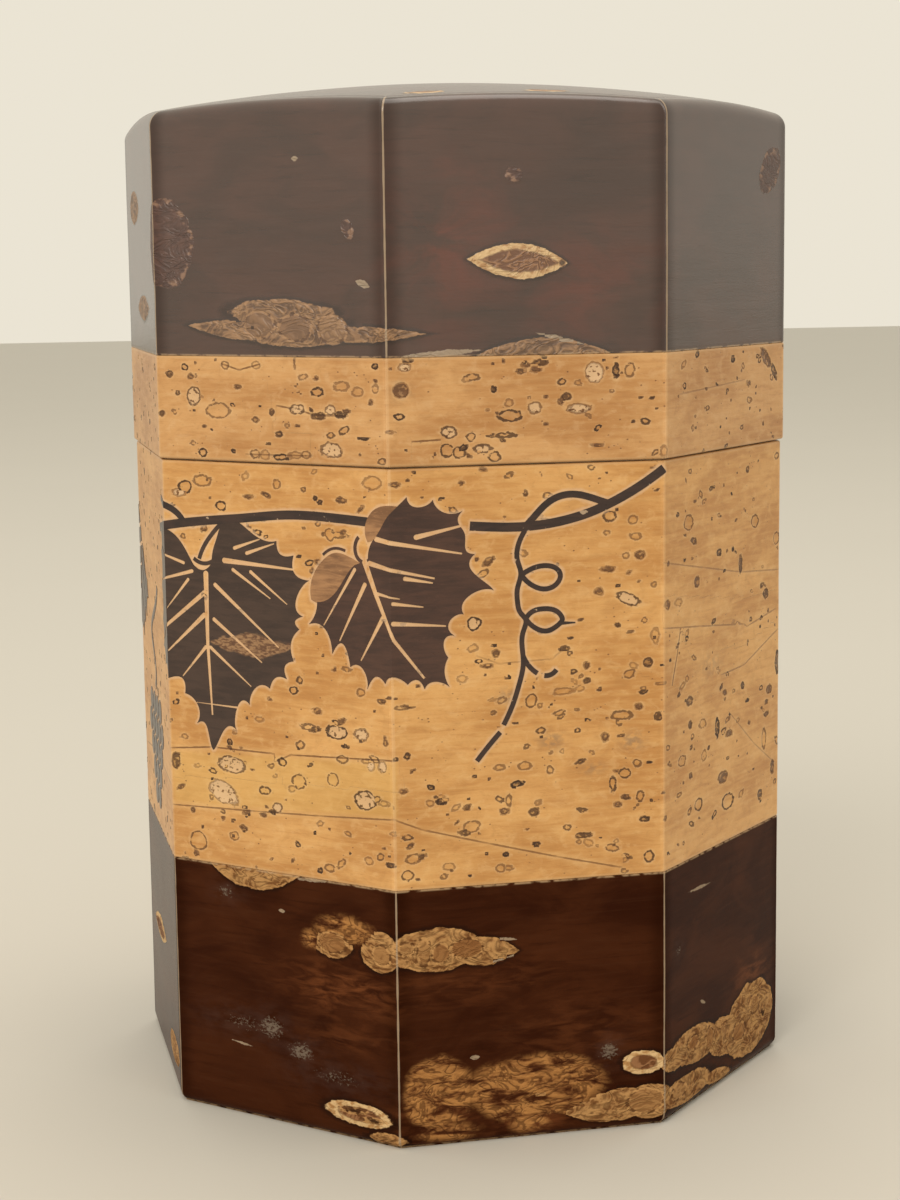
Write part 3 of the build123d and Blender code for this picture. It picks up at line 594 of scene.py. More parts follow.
def mark_relief(s, z, marks):
    """Outward shift of the bark in millimetres: pits sink, and crusts stand up with a rough top."""
    shift = np.zeros(s.shape)
    rough = soft_noise(s, z, 0.9, 0.7, 41) + 0.6 * soft_noise(s, z, 0.45, 0.45, 42)
    for mark in marks:
        kind = mark[5]
        lx, lz = local_place(s, z, mark)
        near = (np.abs(lx) < REACH) & (np.abs(lz) < REACH)
        if not near.any():
            continue
        reach = reach_of(lx[near], lz[near], kind)
        core = np.clip(1 - reach, 0, 1)
        if kind in RAISED:
            top = np.clip(core * 3.5, 0, 1)
            shift[near] = np.maximum(shift[near], RAISED[kind] * top * (0.8 + 0.45 * rough[near]))
        else:
            depth = min(PIT_DEPTH, PIT_DEPTH_SHARE * min(mark[2], mark[3]))
            rim = np.exp(-(((reach - 1.0) / PIT_RIM_WIDTH) ** 2))
            shift[near] += PIT_RIM * rim - depth * np.clip(core * 2.2, 0, 1)
    return shift


SLOW_WAVE = 0.028
FINE_WAVE = 0.010


def waviness(s, z):
    """The slow unevenness of bark that is glued to flat boards and rubbed down."""
    return SLOW_WAVE * soft_noise(s, z, 14, 9, 11) + FINE_WAVE * soft_noise(s, z, 4, 1.6, 12)


# ---- Meshes ----
def put_vectors(mesh, name, domain, values):
    """Stores one vector for each point, or for each corner of each face."""
    layer = mesh.attributes.new(name, "FLOAT_VECTOR", domain)
    layer.data.foreach_set("vector", values.astype(np.float32).ravel())


def mark_layer(mesh, prefix, corner_s, corner_z, marks, seed):
    """For each face, the place and look of the mark that owns it."""
    faces = corner_s.shape[0]
    middle_s = corner_s.mean(1)
    middle_z = corner_z.mean(1)
    best = np.full(faces, REACH)
    place = np.full((faces, 4, 3), FAR_OFF)
    place[:, :, 2] = 0
    look = np.zeros((faces, 4, 3))
    look[:, :, 2] = 1
    random = np.random.default_rng(seed)
    order = np.argsort(middle_z, kind="stable")
    sorted_z = middle_z[order]
    for mark in marks:
        kind = mark[5]
        mark_seed = random.random()
        height = REACH * max(mark[2], mark[3])
        first = np.searchsorted(sorted_z, mark[1] - height)
        last = np.searchsorted(sorted_z, mark[1] + height)
        some = order[first:last]
        lx, lz = local_place(middle_s[some], middle_z[some], mark)
        reach = reach_of(lx, lz, kind)
        closer = reach < best[some]
        owned = some[closer]
        if not len(owned):
            continue
        best[owned] = reach[closer]
        cx, cz = local_place(corner_s[owned], corner_z[owned], mark)
        place[owned, :, 0] = cx
        place[owned, :, 1] = cz
        place[owned, :, 2] = 1.0 if kind in POINTED else 0.0
        look[owned] = (kind, mark_seed, min(mark[2], mark[3]))
    put_vectors(mesh, prefix + "_place", "CORNER", place)
    put_vectors(mesh, prefix + "_look", "CORNER", look)


def put_attributes(mesh, corner_s, corner_z, marks, details, seed, point_fields):
    """Writes what the materials read: wrap coordinates, two layers of marks, and lines."""
    wrap = mesh.uv_layers.new(name="wrap")
    wrap.uv.foreach_set("vector", np.stack([corner_s, corner_z], -1).astype(np.float32).ravel())
    mark_layer(mesh, "mark", corner_s, corner_z, marks, seed)
    mark_layer(mesh, "detail", corner_s, corner_z, details, seed + 50)
    for name, values in point_fields.items():
        put_vectors(mesh, name, "POINT", np.stack(values, -1))


def corner_distance(shares):
    """Distance in millimetres to the nearest corner of the octagon."""
    return np.abs(shares - np.round(shares)) * SIDE_MM


def grid_faces(rows, cols):
    """Four-cornered faces over rings of points that are closed both ways."""
    i = np.arange(rows)[:, None]
    j = np.arange(cols)[None, :]
    up = (i + 1) % rows
    right = (j + 1) % cols
    corners = (i * cols + j, i * cols + right, up * cols + right, up * cols + j)
    return np.stack([np.broadcast_to(c, (len(i), cols)) for c in corners], -1).reshape(-1, 4)


def new_object(name, points, faces):
    """A smooth mesh object from points in millimetres."""
    mesh = bpy.data.meshes.new(name)
    mesh.from_pydata((points * MM).tolist(), [], faces.tolist())
    mesh.shade_smooth()
    piece = bpy.data.objects.new(name, mesh)
    bpy.context.scene.collection.objects.link(piece)
    return piece


def band_profile(bottom, top, bottom_radius, top_radius):
    """(inset, height) round a band's section: up its outside, over the top and down the inside."""
    start = [(inset, bottom + rise) for inset, rise in opening_arc(bottom_radius)]
    end = [(inset, top + drop) for inset, drop in closing_arc(top_radius)]
    count = round((top - bottom - bottom_radius - top_radius) / GRID)
    middle = np.linspace(bottom + bottom_radius, top - top_radius, count)[1:-1]
    outside = start + [(0, z) for z in middle] + end
    return outside, [(BARK, top), (BARK, bottom)]


def bark_band(name, flats, bottom, top, radii, marks, details, cracks, seed, inlaid=False):
    """A band of bark round the caddy."""
    outside, inside = band_profile(bottom, top, *radii)
    inset, height = np.array(outside + inside).T
    corner_radii = np.maximum(CORNER_RADIUS - inset / 2, LEAST_CORNER_RADIUS)
    x, y, nx, ny, share = octagon_rings(inset, flats, corner_radii)
    z = height[:, None] + np.zeros(share.shape)
    s = share * SIDE_MM
    shift = mark_relief(s, z, marks) + mark_relief(s, z, details) + waviness(s, z)
    from_end = np.minimum(z - bottom, top - z)
    from_inlay = np.full(s.shape, FAR_FROM_INLAY)
    if inlaid:
        flat_points = np.stack([x, y, z], -1).reshape(-1, 3)
        from_inlay = inlay_distance(flat_points).reshape(s.shape)
        shift = np.where(from_inlay < END_FADE, np.minimum(shift, 0), shift)
    shift *= np.clip(from_end / END_FADE, 0, 1)
    shift[len(outside):] = 0
    points = np.stack([x + nx * shift, y + ny * shift, z], -1)
    return finish_skin(name, points, share, z, marks, details, cracks, seed, from_end, from_inlay)


def finish_skin(name, points, share, z, marks, details, cracks, seed, from_end, from_inlay):
    """The mesh of a skin that runs round the caddy, with everything its material reads."""
    faces = grid_faces(*share.shape)
    piece = new_object(name, points.reshape(-1, 3), faces)
    s = share * SIDE_MM
    flat_s = s.ravel()[faces]
    flat_s = flat_s[:, :1] + way_round(flat_s - flat_s[:, :1])
    flat_z = z.ravel()[faces]
    crack, strength = crack_field(s.ravel(), z.ravel(), cracks)
    fields = {
        "lines": (corner_distance(share).ravel(), from_end.ravel(), crack),
        "stains": (stain(s, z, RED_STAINS).ravel(), stain(s, z, SCURF).ravel(), strength),
        "tones": (yellow_patch(s, z).ravel(), stain(s, z, GREY_STAINS).ravel(), from_inlay.ravel()),
    }
    put_attributes(piece.data, flat_s, flat_z, marks, details, seed, fields)
    return piece


HALF_LID = LID_FLATS / 2
DOME_RADIUS = (HALF_LID**2 + DOME_RISE**2) / (2 * DOME_RISE)
SLOPE = math.asin(HALF_LID / DOME_RADIUS)
SHOULDER_END = SHOULDER_RADIUS * (1 - math.sin(SLOPE))


def dome_height(x, y):
    """Height of the lid's dome, which is part of a ball."""
    return DOME_TOP - DOME_RADIUS + np.sqrt(np.maximum(DOME_RADIUS**2 - x * x - y * y, 0))


def shoulder_drop(inset):
    """How far the rounded shoulder lies below the dome at an inset from the lid's side."""
    inset = np.clip(inset, 0, SHOULDER_END)
    lift = SHOULDER_RADIUS * (1 / math.cos(SLOPE) - math.tan(SLOPE))
    arc = np.sqrt(np.maximum(2 * SHOULDER_RADIUS * inset - inset * inset, 0))
    return lift + math.tan(SLOPE) * inset - arc


PANEL_SETBACK = (LID_FLATS - PANEL_FLATS) / 2
LID_SIDE_HEIGHT = DOME_TOP - DOME_RISE - shoulder_drop(0) - STRIP_TOP
PANEL_RING_GAP = 0.5
PANEL_HOLE = 0.05  # half width of the pinhole that the panel's rings shrink to


def lid_side_rows():
    """(inset, rise) up the lid's side, insets over the shoulder, and (inset, drop) over the lip."""
    r = JOINT_ROUNDING
    count = round((LID_SIDE_HEIGHT - r) / GRID)
    side = opening_arc(r) + [(0, rise) for rise in np.linspace(r, LID_SIDE_HEIGHT, count)[1:]]
    arc = np.linspace(0, math.pi / 2 - SLOPE, SHOULDER_STEPS)[1:]
    shoulder = [SHOULDER_RADIUS * (1 - math.cos(a)) for a in arc]
    shoulder += list(np.linspace(SHOULDER_END, PANEL_SETBACK - r, 4)[1:])
    lip = [(PANEL_SETBACK - inset, -rise) for inset, rise in opening_arc(r)[1:]]
    return side, shoulder, lip


def lid_side():
    """The lid's dark bark: its side, its rounded shoulder and the edge beside the dome's panel."""
    side, shoulder, lip = lid_side_rows()
    insets = [inset for inset, _ in side] + shoulder + [inset for inset, _ in lip]
    insets = np.array(insets + [PANEL_SETBACK, BARK, BARK])
    x, y, nx, ny, share = octagon_rings(insets, LID_FLATS, np.maximum(CORNER_RADIUS - insets / 10, 0.2))
    edge_x, edge_y, _, _ = rounded_octagon(SHARES, LID_FLATS, CORNER_RADIUS)
    side_top = dome_height(edge_x, edge_y) - shoulder_drop(0)
    z = dome_height(x, y)
    outward = np.zeros(share.shape)
    for row, (_, rise) in enumerate(side):
        z[row] = STRIP_TOP + rise * (side_top - STRIP_TOP) / LID_SIDE_HEIGHT
        outward[row] = 1
    for row, inset in enumerate(shoulder, start=len(side)):
        z[row] -= shoulder_drop(inset)
        outward[row] = max(1 - inset / SHOULDER_END, 0)
    for row, (_, drop) in enumerate(lip, start=len(side) + len(shoulder)):
        z[row] += drop
    # The last three rows are under the lip, inside the side's upper edge and at its foot.
    z[-3] -= BARK
    z[-2] = side_top - BARK * 0.4
    z[-1] = STRIP_TOP
    s = share * SIDE_MM
    shift = (mark_relief(s, z, LID_MARKS) + mark_relief(s, z, LID_DETAILS) + waviness(s, z)) * outward
    from_end = z - STRIP_TOP
    shift *= np.clip(from_end / END_FADE, 0, 1)
    points = np.stack([x + nx * shift, y + ny * shift, z], -1)
    from_inlay = np.full(s.shape, FAR_FROM_INLAY)
    return finish_skin(
        "lid_skin_side", points, share, z, LID_MARKS, LID_DETAILS, (), 23, from_end, from_inlay
    )


def lid_dome():
    """The panel of bark on the dome: rings that shrink to its middle, and a back that follows it."""
    edge = closing_arc(JOINT_ROUNDING)
    last = PANEL_FLATS / 2 - PANEL_HOLE
    count = round(PANEL_FLATS / 2 / PANEL_RING_GAP)
    rings = [(inset, 0) for inset in np.linspace(JOINT_ROUNDING, last, count)[1:]]
    inset, drop = np.array(edge + rings + [(last, -BARK), (0, -BARK)]).T
    radii = np.minimum(CORNER_RADIUS + inset / 5, (PANEL_FLATS - 2 * inset) * 0.45)
    x, y, _, _, share = octagon_rings(inset, PANEL_FLATS, radii)
    relief = mark_relief(x, y, DOME_MARKS) + waviness(x + 60, y + 60)
    relief *= (np.clip(inset, 0, 1) * (drop == 0))[:, None]
    z = dome_height(x, y) + drop[:, None] + relief
    faces = grid_faces(*share.shape)
    piece = new_object("lid_skin_dome", np.stack([x, y, z], -1).reshape(-1, 3), faces)
    zero = np.zeros(share.size)
    fields = {
        "lines": (zero + FAR_OFF, zero + FAR_OFF, zero + FAR_OFF),
        "stains": (zero, zero, zero),
        "tones": (zero, zero, zero + FAR_FROM_INLAY),
    }
    put_attributes(piece.data, x.ravel()[faces], y.ravel()[faces], DOME_MARKS, (), 31, fields)
    return piece


# ---- Materials ----
# Colours are red, green and blue shares of light. First those of the light bark.
TAN_DEEP = (0.52, 0.245, 0.070)
TAN_WARM = (0.69, 0.372, 0.128)
TAN_STREAK = (0.76, 0.46, 0.18)
BROWN_STREAK = (0.43, 0.19, 0.052)
TAN_PALE = (0.80, 0.52, 0.24)
BROWN_MOTTLE = (0.42, 0.20, 0.060)
BROWN_GRAIN = (0.40, 0.18, 0.055)
SPECK_BROWN = (0.15, 0.058, 0.020)
CRACK_BROWN = (0.17, 0.070, 0.024)
PIT_BLACK = (0.028, 0.010, 0.004)
PIT_BROWN = (0.12, 0.046, 0.017)
PIT_TAN = (0.66, 0.42, 0.22)
PIT_CREAM = (0.72, 0.50, 0.30)
PIT_LIP = (0.80, 0.54, 0.28)
PATCH_YELLOW = (0.68, 0.42, 0.125)
STAIN_GREY = (0.24, 0.15, 0.09)
GLUE_PALE = (0.74, 0.50, 0.31)
WORN_CORNER = (0.80, 0.55, 0.31)
CUT_EDGE = (0.62, 0.40, 0.20)
# Those of the dark bark.
SCURF_MIST = (0.090, 0.050, 0.040)
SCURF_GRAIN = (0.21, 0.165, 0.125)
EYE_LIP_BROWN = (0.42, 0.22, 0.085)
EYE_LIP_PALE = (0.66, 0.45, 0.23)
EYE_CORE_DARK = (0.15, 0.060, 0.024)
EYE_CORE_WARM = (0.30, 0.145, 0.066)
EYE_LINE = (0.13, 0.05, 0.02)
SCAB_DARK = (0.072, 0.028, 0.021)
SCAB_RED = (0.115, 0.048, 0.034)
SCAB_DOT = (0.36, 0.20, 0.125)
RUST_DARK = (0.115, 0.038, 0.013)
RUST_ORANGE = (0.42, 0.195, 0.062)
RUST_CREVICE = (0.05, 0.016, 0.006)
CHIP_PALE = (0.46, 0.35, 0.24)
# Painted shadow in a band just outside the raised crusts and eyes.
CRUST_PAINTED_SHADOW = (0.010, 0.0045, 0.003)
HOLE_BLACK = (0.030, 0.011, 0.005)
RING_BROWN = (0.085, 0.032, 0.011)
WORN_LINE = (0.42, 0.31, 0.21)
JOINT_RIM = (0.48, 0.32, 0.18)
PAINTED_CORNER_SHADE = (2.4, 0.3)  # painted shade: dark bark is darkened, and its specular lowered, between these distances from a corner
CORK_STRANDS = 46.0  # how tightly the strands of cork are coiled
# Those of the inlays, inner bark, knob and floor.
LENTICEL_DARK = (0.13, 0.055, 0.024)
LENTICEL_TAN = (0.36, 0.20, 0.095)
INLAY_CHIP = (0.50, 0.36, 0.24)
INNER_DARK = (0.075, 0.024, 0.010)
INNER_WARM = (0.19, 0.072, 0.028)
INNER_DASH = (0.42, 0.235, 0.105)
KNOB_DARK = (0.060, 0.020, 0.009)
KNOB_WARM = (0.17, 0.064, 0.025)
FLOOR_PALE = (0.60, 0.575, 0.52)
FLOOR_SHADE = (0.56, 0.535, 0.48)
TOOL_RINGS = 14.0  # turning marks on the knob, in radians to the millimetre


def times_colour(colour, factor):
    """A colour made lighter or darker."""
    return tuple(c * factor for c in colour)


class Nodes:
    """A short way to write a node tree: each method adds what it names and returns its output."""

    def __init__(self, name):
        self.material = bpy.data.materials.new(name)
        self.material.use_nodes = True
        self.tree = self.material.node_tree
        self.shader = self.tree.nodes["Principled BSDF"]

    def set(self, socket, value):
        """Links a socket to another node's output, or gives it a plain value."""
        if isinstance(value, bpy.types.NodeSocket):
            self.tree.links.new(value, socket)
        elif isinstance(value, tuple) and len(value) == 3 and socket.type == "RGBA":
            socket.default_value = (*value, 1)
        else:
            socket.default_value = value

    def finish(self, **inputs):
        """Sets the shader's inputs, named in lower case with underscores, and returns the material."""
        for name, value in inputs.items():
            self.set(self.shader.inputs[name.replace("_", " ").title().replace("Ior", "IOR")], value)
        return self.material

    def math(self, operation, a, b=0.0, c=0.0, clamp=False):
        node = self.tree.nodes.new("ShaderNodeMath")
        node.operation = operation
        node.use_clamp = clamp
        for socket, value in zip(node.inputs, (a, b, c)):
            self.set(socket, value)
        return node.outputs[0]

    def add(self, a, b):
        return self.math("ADD", a, b)

    def minus(self, a, b, clamp=False):
        return self.math("SUBTRACT", a, b, clamp=clamp)

    def times(self, a, b):
        return self.math("MULTIPLY", a, b)

    def over(self, a, b):
        return self.math("DIVIDE", a, b)

    def absolute(self, a):
        return self.math("ABSOLUTE", a)

    def times_add(self, a, b, c):
        """a times b, plus c."""
        return self.math("MULTIPLY_ADD", a, b, c)

    def step(self, value, low, high):
        """0 below low, 1 above high, and smooth between. low may be above high."""
        node = self.tree.nodes.new("ShaderNodeMapRange")
        node.interpolation_type = "SMOOTHSTEP"
        rising = not isinstance(low, float) or not isinstance(high, float) or low <= high
        ends = (low, high, 0.0, 1.0) if rising else (high, low, 1.0, 0.0)
        for socket, end in zip(node.inputs[1:5], ends):
            self.set(socket, end)
        self.set(node.inputs[0], value)
        return node.outputs[0]

    def mix(self, share, a, b, blend="MIX"):
        """The colour a where share is 0 and b where it is 1."""
        node = self.tree.nodes.new("ShaderNodeMix")
        node.data_type = "RGBA"
        node.blend_type = blend
        self.set(node.inputs[0], share)
        self.set(node.inputs[6], a)
        self.set(node.inputs[7], b)
        return node.outputs[2]

    def tint(self, colour, other, value, low, high, share):
        """Colour turning into other, as far as share, where value goes from low to high."""
        return self.mix(self.times(self.step(value, low, high), share), colour, other)

    def attribute(self, name):
        node = self.tree.nodes.new("ShaderNodeAttribute")
        node.attribute_name = name
        return node.outputs["Vector"]

    def wrap(self):
        node = self.tree.nodes.new("ShaderNodeUVMap")
        node.uv_map = "wrap"
        return node.outputs[0]

    def object_place(self):
        """Place in the caddy's frame, in millimetres."""
        node = self.tree.nodes.new("ShaderNodeTexCoord")
        return self.scaled(node.outputs["Object"], (1 / MM, 1 / MM, 1 / MM))

    def scaled(self, vector, scale, shift=(0.0, 0.0, 0.0)):
        node = self.tree.nodes.new("ShaderNodeMapping")
        self.set(node.inputs["Vector"], vector)
        node.inputs["Scale"].default_value = scale
        node.inputs["Location"].default_value = shift
        return node.outputs[0]

    def split(self, vector):
        node = self.tree.nodes.new("ShaderNodeSeparateXYZ")
        self.set(node.inputs[0], vector)
        return node.outputs[0], node.outputs[1], node.outputs[2]

    def noise(self, vector, scale, detail=3.0, roughness=0.55, distortion=0.0, shift=(0.0, 0.0, 0.0)):
        """Noise of about scale cells to the millimetre along each axis."""
        node = self.tree.nodes.new("ShaderNodeTexNoise")
        self.set(node.inputs["Vector"], self.scaled(vector, scale, shift))
        node.inputs["Scale"].default_value = 1.0
        node.inputs["Detail"].default_value = detail
        node.inputs["Roughness"].default_value = roughness
        node.inputs["Distortion"].default_value = distortion
        return node.outputs["Fac"]

    def cells(self, vector, scale):
        """Distance to the nearest of many scattered points."""
        node = self.tree.nodes.new("ShaderNodeTexVoronoi")
        self.set(node.inputs["Vector"], self.scaled(vector, scale))
        node.inputs["Scale"].default_value = 1.0
        return node.outputs["Distance"]

    def bump(self, height, depth_mm):
        node = self.tree.nodes.new("ShaderNodeBump")
        node.inputs["Distance"].default_value = depth_mm * MM
        node.inputs["Strength"].default_value = 1.0
        self.set(node.inputs["Height"], height)
        return node.outputs[0]


def mark_reach(n, layer, ragged_mm, bulge):
    """A layer's marks with uneven outlines: reach, distance outside the edge in mm, kind, seed."""
    x, y, lens = n.split(n.attribute(layer + "_place"))
    kind, seed, size = n.split(n.attribute(layer + "_look"))
    round_reach = n.math("SQRT", n.add(n.times(x, x), n.times(y, y)))
    lens_reach = n.add(n.absolute(y), n.times(x, x))
    difference = n.minus(lens_reach, round_reach)
    reach = n.times_add(difference, lens, round_reach)
    place = n.object_place()
    ragged = n.minus(n.noise(place, (1.5, 1.5, 1.9), 2.0), 0.5)
    slow = n.minus(n.noise(place, (0.4, 0.4, 0.5), 1.0), 0.5)
    shift = n.over(n.times(ragged, 2 * ragged_mm), size)
    reach = n.add(n.add(reach, shift), n.times(slow, 2 * bulge))
    edge = n.times(n.minus(reach, 1.0), size)
    return reach, edge, kind, seed


def is_kind(n, kind, wanted):
    """1 where the mark is of the wanted kind, and 0 elsewhere."""
    return n.math("COMPARE", kind, wanted, SAME_KIND)


def line_mask(n, distance, half_width, wobble, scale):
    """A thin line where distance is near nought, uneven in width and broken here and there."""
    place = n.object_place()
    uneven = n.noise(place, (scale, scale, scale), 2.0)
    width = n.times_add(uneven, wobble, half_width - wobble / 2)
    near = n.absolute(distance)
    return n.minus(1.0, n.step(n.over(near, width), 0.55, 1.25))


def light_ground(n, wrap):
    """Tan bark with level streaks. Returns the colour, the streaks and a finer grain."""
    cloud = n.noise(wrap, (0.055, 0.15, 1), 4.0, 0.6, 0.6)
    streak = n.noise(wrap, (0.20, 1.7, 1), 4.0, 0.6, 0.3, shift=(7, 3, 0))
    fine = n.noise(wrap, (1.6, 5.5, 1), 3.0, 0.65)
    mottle = n.noise(wrap, (0.5, 0.7, 1), 4.0, 0.65, 0.5, shift=(2, 9, 0))
    colour = n.mix(n.step(cloud, 0.36, 0.66), TAN_DEEP, TAN_WARM)
    colour = n.tint(colour, TAN_STREAK, streak, 0.42, 0.68, 0.30)
    colour = n.tint(colour, BROWN_STREAK, streak, 0.47, 0.30, 0.32)
    colour = n.tint(colour, TAN_PALE, mottle, 0.50, 0.68, 0.28)
    colour = n.tint(colour, BROWN_MOTTLE, mottle, 0.48, 0.32, 0.25)
    return n.tint(colour, BROWN_GRAIN, fine, 0.45, 0.25, 0.3), streak, fine


def light_specks(n, wrap, colour):
    """Fine brown specks in drifts. Returns the colour and the specks."""
    spots = n.cells(wrap, (1.15, 1.5, 1))
    drift = n.step(n.noise(wrap, (0.33, 0.5, 1), 2.0, shift=(31, 9, 0)), 0.50, 0.58)
    specks = n.times(n.step(spots, 0.16, 0.08), drift)
    return n.mix(n.times(specks, 0.7), colour, SPECK_BROWN), specks


def light_cracks(n, colour, crack, strength):
    """Joint lines and hairline cracks, each with a pale edge. Returns the colour and the lines."""
    line = line_mask(n, crack, 0.10, 0.14, 1.4)
    line = n.math("MULTIPLY", line, strength, clamp=True)
    colour = n.mix(n.times(line, 0.8), colour, CRACK_BROWN)
    halo = n.minus(n.step(n.absolute(crack), 0.7, 0.1), line, clamp=True)
    share = n.math("MULTIPLY", halo, n.times(strength, 0.25), clamp=True)
    return n.mix(share, colour, TAN_PALE), line


def light_pits(n, wrap, colour):
    """Pits with thin dark rings, some pale inside and some dark. Returns the colour and rings."""
    _, edge, kind, seed = mark_reach(n, "mark", 0.24, 0.16)
    uneven = n.noise(wrap, (1.9, 2.3, 1), 2.0, shift=(3, 21, 0))
    width = n.times(uneven, 0.20)
    near = n.over(n.absolute(edge), width)
    ring = n.times(n.step(near, 1.35, 0.6), n.step(uneven, 0.26, 0.44))
    dark = n.mix(seed, PIT_BLACK, PIT_BROWN)
    pale = n.mix(seed, PIT_TAN, PIT_CREAM)
    lip = n.times(n.step(edge, 0.40, 0.15), n.step(edge, 0.02, 0.12))
    colour = n.mix(n.times(lip, 0.2), colour, PIT_LIP)
    patches = n.noise(wrap, (1.6, 2.0, 1), 2.0, shift=(11, 8, 0))
    pale_pit = n.mix(n.step(patches, 0.55, 0.62), pale, dark)
    dark_pit = n.mix(n.step(patches, 0.40, 0.50), n.mix(0.4, colour, dark), dark)
    fill = n.mix(n.times(is_kind(n, kind, PIT_PALE), 0.8), colour, pale_pit)
    fill = n.mix(n.times(is_kind(n, kind, PIT_DARK), 0.85), fill, dark_pit)
    colour = n.mix(n.step(edge, 0.03, -0.05), colour, fill)
    strength = n.times_add(seed, -0.55, 0.95)
    return n.mix(n.times(ring, strength), colour, dark), ring


def light_bark(name, tone):
    """Tan cherry bark: short streaks, fine specks, ringed pits, joint lines and worn corners."""
    n = Nodes(name)
    wrap = n.wrap()
    corner, end, crack = n.split(n.attribute("lines"))
    _, _, crack_strength = n.split(n.attribute("stains"))
    yellow, grey, from_inlay = n.split(n.attribute("tones"))
    colour, streak, fine = light_ground(n, wrap)
    colour = n.mix(n.times(yellow, 0.4), colour, PATCH_YELLOW)
    colour = n.mix(0.8, colour, n.mix(1.0, colour, tone, "MULTIPLY"))
    colour, specks = light_specks(n, wrap, colour)
    smoke = n.noise(wrap, (1.1, 1.4, 1), 3.0)
    colour = n.mix(n.times(n.times(grey, n.step(smoke, 0.36, 0.58)), 0.7), colour, STAIN_GREY)
    colour, line = light_cracks(n, colour, crack, crack_strength)
    colour, ring = light_pits(n, wrap, colour)
    cut = n.noise(wrap, (0.9, 0.9, 1), 2.0, shift=(5, 5, 0))
    glue = n.step(from_inlay, n.times_add(cut, 0.7, 0.08), 0.06)
    colour = n.mix(n.times(glue, 0.65), colour, GLUE_PALE)
    colour = n.mix(n.times(line_mask(n, corner, 0.2, 0.16, 0.6), 0.22), colour, WORN_CORNER)
    colour = n.tint(colour, CUT_EDGE, end, 0.40, 0.12, 0.45)
    height = n.times_add(streak, 0.6, n.times(fine, 0.35))
    for groove, depth in ((ring, 0.8), (line, 1.0), (specks, 0.6)):
        height = n.minus(height, n.times(groove, depth))
    gloss = n.times_add(fine, 0.16, 0.30)
    return n.finish(
        base_color=colour,
        roughness=n.add(gloss, n.times(ring, 0.2)),
        specular_ior_level=0.4,
        normal=n.bump(height, 0.06),
    )


def dark_ground(n, wrap, tones, corner, red):
    """Polished brown bark with painted shade beside the corners. Returns the colour, streaks and grain."""
    cloud = n.noise(wrap, (0.07, 0.14, 1), 4.0, 0.6, 0.8)
    streak = n.noise(wrap, (0.12, 1.3, 1), 5.0, 0.62, 0.4, shift=(3, 11, 0))
    fine = n.noise(wrap, (0.9, 5.0, 1), 3.0, 0.6)
    blush = n.noise(wrap, tones["blush_scale"], 4.0, 0.6, 0.6, shift=(5, 2, 0))
    dark_streak_and_painted_shade = times_colour(tones["deep"], 0.5)
    colour = n.mix(n.step(cloud, 0.32, 0.70), tones["deep"], tones["warm"])
    colour = n.tint(colour, tones["haze"], streak, 0.50, 0.74, 0.2)
    colour = n.tint(colour, dark_streak_and_painted_shade, streak, 0.46, 0.30, 0.35)
    # Painted shade: darker colour beside each corner, where the rounded corner's reflection falls off.
    colour = n.tint(colour, dark_streak_and_painted_shade, corner, *PAINTED_CORNER_SHADE, 0.5)
    share = n.math("MULTIPLY", red, n.times(n.step(blush, 0.38, 0.68), 0.9), clamp=True)
    return n.mix(share, colour, tones["red"]), streak, fine


def dark_scurf(n, wrap, colour, scurf):
    """Grey granules over a dull mist. Returns the colour and the granules."""
    flakes = n.noise(wrap, (2.2, 3.2, 1), 3.0, 0.7, shift=(13, 4, 0))
    mist = n.noise(wrap, (0.5, 0.9, 1), 2.0, shift=(1, 6, 0))
    share = n.times(n.times(scurf, n.step(mist, 0.3, 0.7)), 0.5)
    colour = n.mix(share, colour, SCURF_MIST)
    grains = n.times(n.step(n.add(scurf, n.times(flakes, 1.1)), 1.14, 1.36), 0.7)
    return n.mix(grains, colour, SCURF_GRAIN), grains


def cork(n, wrap, tones):
    """Tan and brown cork with looping strands. Returns the colour and the strands."""
    swirl = n.noise(wrap, (0.26, 0.46, 1), 3.0, 0.5, 0.9, shift=(2, 17, 0))
    tint = n.noise(wrap, (0.42, 0.75, 1), 3.0, 0.6, 0.4, shift=(8, 3, 0))
    strands = n.math("SINE", n.times(swirl, CORK_STRANDS))
    dark = times_colour(tones["cork_dark"], 0.45)
    pale = times_colour(tones["cork_pale"], 1.35)
    colour = n.mix(n.step(tint, 0.36, 0.62), tones["cork_dark"], tones["cork_pale"])
    colour = n.tint(colour, pale, strands, 0.2, 0.9, 0.4)
    colour = n.tint(colour, dark, strands, -0.5, -0.95, 0.45)
    pores = n.cells(wrap, (0.75, 1.2, 1))
    return n.tint(colour, dark, pores, 0.22, 0.10, 0.6), strands


